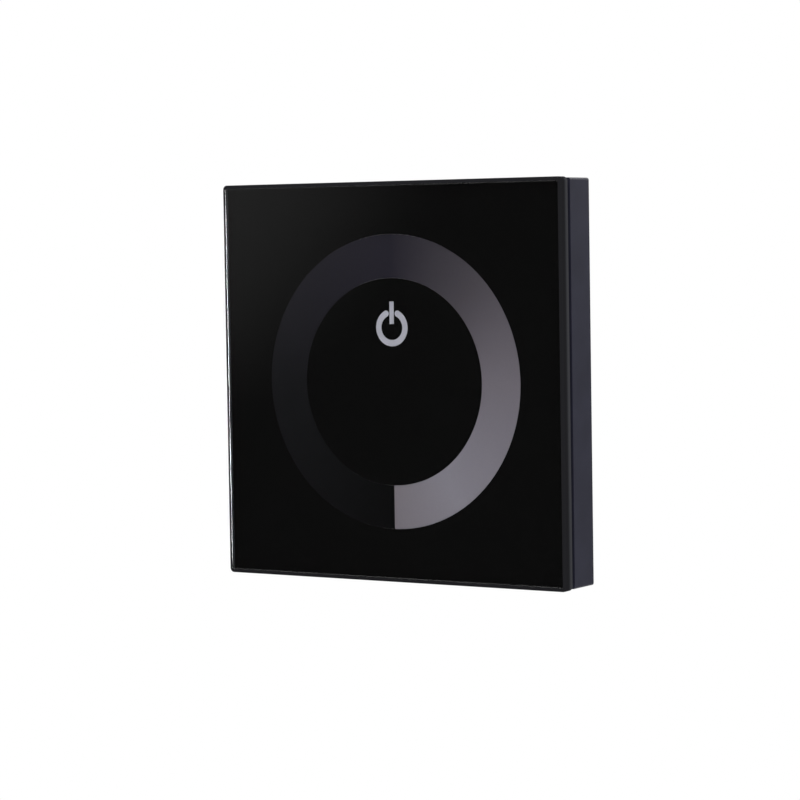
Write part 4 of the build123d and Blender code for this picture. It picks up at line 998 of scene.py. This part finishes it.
@dataclass
class Studio:
    """Camera, world, lamps and floor."""

    azimuth: float = math.radians(32.662)
    elevation: float = math.radians(3.294)
    roll: float = math.radians(-0.927)
    distance: float = 612.65 * MM
    shift_right: float = 2.478 * MM
    shift_up: float = -3.823 * MM
    face_depth: float = GLASS_FRONT
    lens: float = 128.7
    sensor: float = 36.0
    clip_start: float = 0.01
    floor_drop: float = 350.0 * MM
    floor_radius: float = 1.05
    floor_sides: int = 64
    floor_colour: Colour = (0.86, 0.86, 0.86)
    backdrop_mirrored: float = 0.26
    card_towards: Ends = (-0.1, 0.75)
    card_dark: float = 0.065
    card_above: float = 0.5
    above_ends: Ends = (0.1, 0.45)
    card_below: float = 0.9
    below_ends: Ends = (0.16, 0.42)
    glow_towards: Triple = (-0.64, -0.765, 0.07)
    glow_ends: Ends = (0.988, 0.998)
    glow_level: float = 0.3
    strip_towards: Triple = (-0.974, -0.22, -0.05)
    strip_ends: Ends = (0.9942, 0.9972)
    strip_level: float = 20.0
    fill_level: float = 0.7
    key_place: Triple = (0.35, -0.5, 0.75)
    key_power: float = 4.0
    back_place: Triple = (0.2, 0.8, 0.45)
    back_power: float = 3.0
    lamp_side: float = 0.6

    def camera(self) -> None:
        """Stands the camera where the photograph was taken from."""
        level = math.cos(self.elevation)
        back = Vector(
            (math.sin(self.azimuth) * level, -math.cos(self.azimuth) * level, math.sin(self.elevation))
        )
        right = (-back).cross(Vector((0, 0, 1))).normalized()
        up = right.cross(-back)
        eye = back * self.distance + right * self.shift_right + up * self.shift_up
        turned_right = right * math.cos(self.roll) + up * math.sin(self.roll)
        turned_up = up * math.cos(self.roll) - right * math.sin(self.roll)
        lens = bpy.data.cameras.new("studio_camera")
        lens.lens = self.lens
        lens.sensor_width = self.sensor
        lens.clip_start = self.clip_start
        camera = bpy.data.objects.new("studio_camera", lens)
        axes = Matrix((turned_right, turned_up, back)).transposed()
        camera.matrix_world = Matrix.Translation(eye + Vector((0, self.face_depth, 0))) @ axes.to_4x4()
        bpy.context.scene.collection.objects.link(camera)
        bpy.context.scene.camera = camera

    def world(self) -> None:
        """White to the camera and through glass, and a soft studio in what the surfaces mirror."""
        world = bpy.data.worlds.new("studio")
        world.use_nodes = True
        bpy.context.scene.world = world
        graph = Graph(world.node_tree)
        ray = graph.node("ShaderNodeLightPath", out="Is Camera Ray")
        point = graph.node("ShaderNodeTexCoord", out="Generated")
        parts = graph.node("ShaderNodeSeparateXYZ", {}, {0: point})
        ahead = (0 - parts.output("Y")).step(*self.card_towards)
        height = parts.output("Z")
        above = height.step(*self.above_ends)
        below = (0 - height).step(*self.below_ends)
        card = self.card_dark + self.card_above * above + self.card_below * below
        glow = graph.towards(point, self.glow_towards).step(*self.glow_ends)
        strip = graph.towards(point, self.strip_towards).step(*self.strip_ends)
        backdrop = self.backdrop_mirrored + ahead * (card - self.backdrop_mirrored)
        mirrored = backdrop + self.glow_level * glow + self.strip_level * strip
        white = graph.math("MAXIMUM", ray, ray.output("Is Transmission Ray"))
        shiny = ray.output("Is Glossy Ray")
        level = white + (1 - white) * (shiny * mirrored + (1 - shiny) * self.fill_level)
        colour = graph.node("ShaderNodeCombineXYZ", {}, {0: level, 1: level, 2: level})
        surface = graph.node("ShaderNodeBackground", {}, {"Color": colour, "Strength": 1.0})
        graph.node("ShaderNodeOutputWorld", {}, {"Surface": surface})

    def lamp(self, name: str, place: Vector, side: float, power: float) -> None:
        """Hangs one square soft lamp that faces the object.

        Args:
            name: The lamp's name.
            place: Where it hangs.
            side: Length of its side.
            power: Its power in watts.
        """
        light = bpy.data.lights.new(name, "AREA")
        light.shape = "SQUARE"
        light.size = side
        light.energy = power
        lamp = bpy.data.objects.new(name, light)
        lamp.location = place
        lamp.rotation_euler = (-place).to_track_quat("-Z", "Y").to_euler()
        bpy.context.scene.collection.objects.link(lamp)

    def floor(self) -> None:
        """Lays the pale round floor well below the object."""
        shape = bmesh.new()
        bmesh.ops.create_circle(shape, cap_ends=True, radius=self.floor_radius, segments=self.floor_sides)
        bmesh.ops.translate(shape, verts=shape.verts, vec=(0, 0, -self.floor_drop))
        mesh = bpy.data.meshes.new("studio_floor")
        shape.to_mesh(mesh)
        shape.free()
        floor = link("studio_floor", mesh)
        material = bpy.data.materials.new("floor_paint")
        material.use_nodes = True
        graph = Graph(material.node_tree)
        graph.finish(Base_Color=self.floor_colour, Roughness=0.8)
        mesh.materials.append(material)

    def build(self) -> None:
        """Sets up the whole studio."""
        bpy.context.scene.view_settings.view_transform = "Standard"
        self.camera()
        self.world()
        self.lamp("key_lamp", Vector(self.key_place), self.lamp_side, self.key_power)
        self.lamp("back_lamp", Vector(self.back_place), self.lamp_side, self.back_power)
        self.floor()


SHELLS = (
    SoftShell("front_frame", Body.FRONT, "frame_plastic", 0.1 * MM),
    SoftShell("snap_hooks", Body.FRONT, "frame_plastic", 0.12 * MM),
    SoftShell("header_insulator", Body.FRONT, "connector_black", 0.1 * MM),
    SoftShell("rear_housing", Body.WALL, "housing_plastic", 0.2 * MM),
    SoftShell("board_cover", Body.WALL, "housing_plastic", 0.12 * MM),
    SoftShell("board_socket", Body.WALL, "connector_black", 0.1 * MM),
    SoftShell("input_terminal", Body.WALL, "terminal_green", 0.12 * MM),
    SoftShell("output_terminal", Body.WALL, "terminal_green", 0.12 * MM),
)
CARRIED = {
    "ink_mask": "black_ink",
    "brightness_ring": "ring_ink",
    "power_symbol": "symbol_ink",
    "diffuser_sheet": "diffuser_film",
    "glass_tape": "foam_tape",
    "touch_board": "board_mask",
    "touch_pads": "copper",
    "touch_chip": "chip_epoxy",
    "touch_passives": "component_ceramic",
    "indicator_led": "lamp_white",
    "header_pins": "gold_pins",
    "cover_screws": "zinc_steel",
    "main_board": "board_mask",
    "board_screws": "zinc_steel",
    "socket_contacts": "gold_pins",
    "microcontroller": "chip_epoxy",
    "voltage_regulator": "chip_epoxy",
    "buzzer": "connector_black",
    "board_passives": "component_ceramic",
    "output_mosfets": "chip_epoxy",
    "filter_capacitors": "can_aluminium",
    "power_inductor": "ferrite",
    "terminal_contacts": "tinned_brass",
}
CLAMPS = 6
THREAD_RADIUS = 1.2 * MM
THREAD_RIDGE = 0.1 * MM
THREAD_PITCH = 0.45 * MM
THREAD_LENGTH = 3.2 * MM
THREAD_INSET = 0.25 * MM


def clear_stage() -> None:
    """Removes what a new Blender file holds."""
    for thing in list(bpy.data.objects):
        bpy.data.objects.remove(thing)


def main() -> None:
    """Builds the scene: the frame, the dressed pieces, then the studio."""
    logging.basicConfig(level=logging.INFO, format="%(name)s: %(message)s")
    clear_stage()
    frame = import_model()
    GlassPlate().build()
    for shell in SHELLS:
        shell.build(frame)
    clamp_nodes = {}
    for number in range(1, CLAMPS + 1):
        clamp_nodes[f"terminal_screw_{number}"] = "nickel_steel"
        clamp_nodes[f"wire_cage_{number}"] = "nickel_steel"
    CarriedNodes({**CARRIED, **clamp_nodes}).build(frame)
    for number in range(1, CLAMPS + 1):
        low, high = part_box(f"terminal_screw_{number}")
        middle = (low + high) / 2
        start = Vector((middle.x, low.y + THREAD_INSET, middle.z))
        ThreadedShank(
            name=f"clamp_thread_{number}",
            body=f"screw_{number}",
            slot="nickel_steel",
            radius=THREAD_RADIUS,
            ridge=THREAD_RIDGE,
            pitch=THREAD_PITCH,
            length=THREAD_LENGTH,
            start=start,
        ).build()
    Studio().build()


if __name__ == "__main__":
    main()
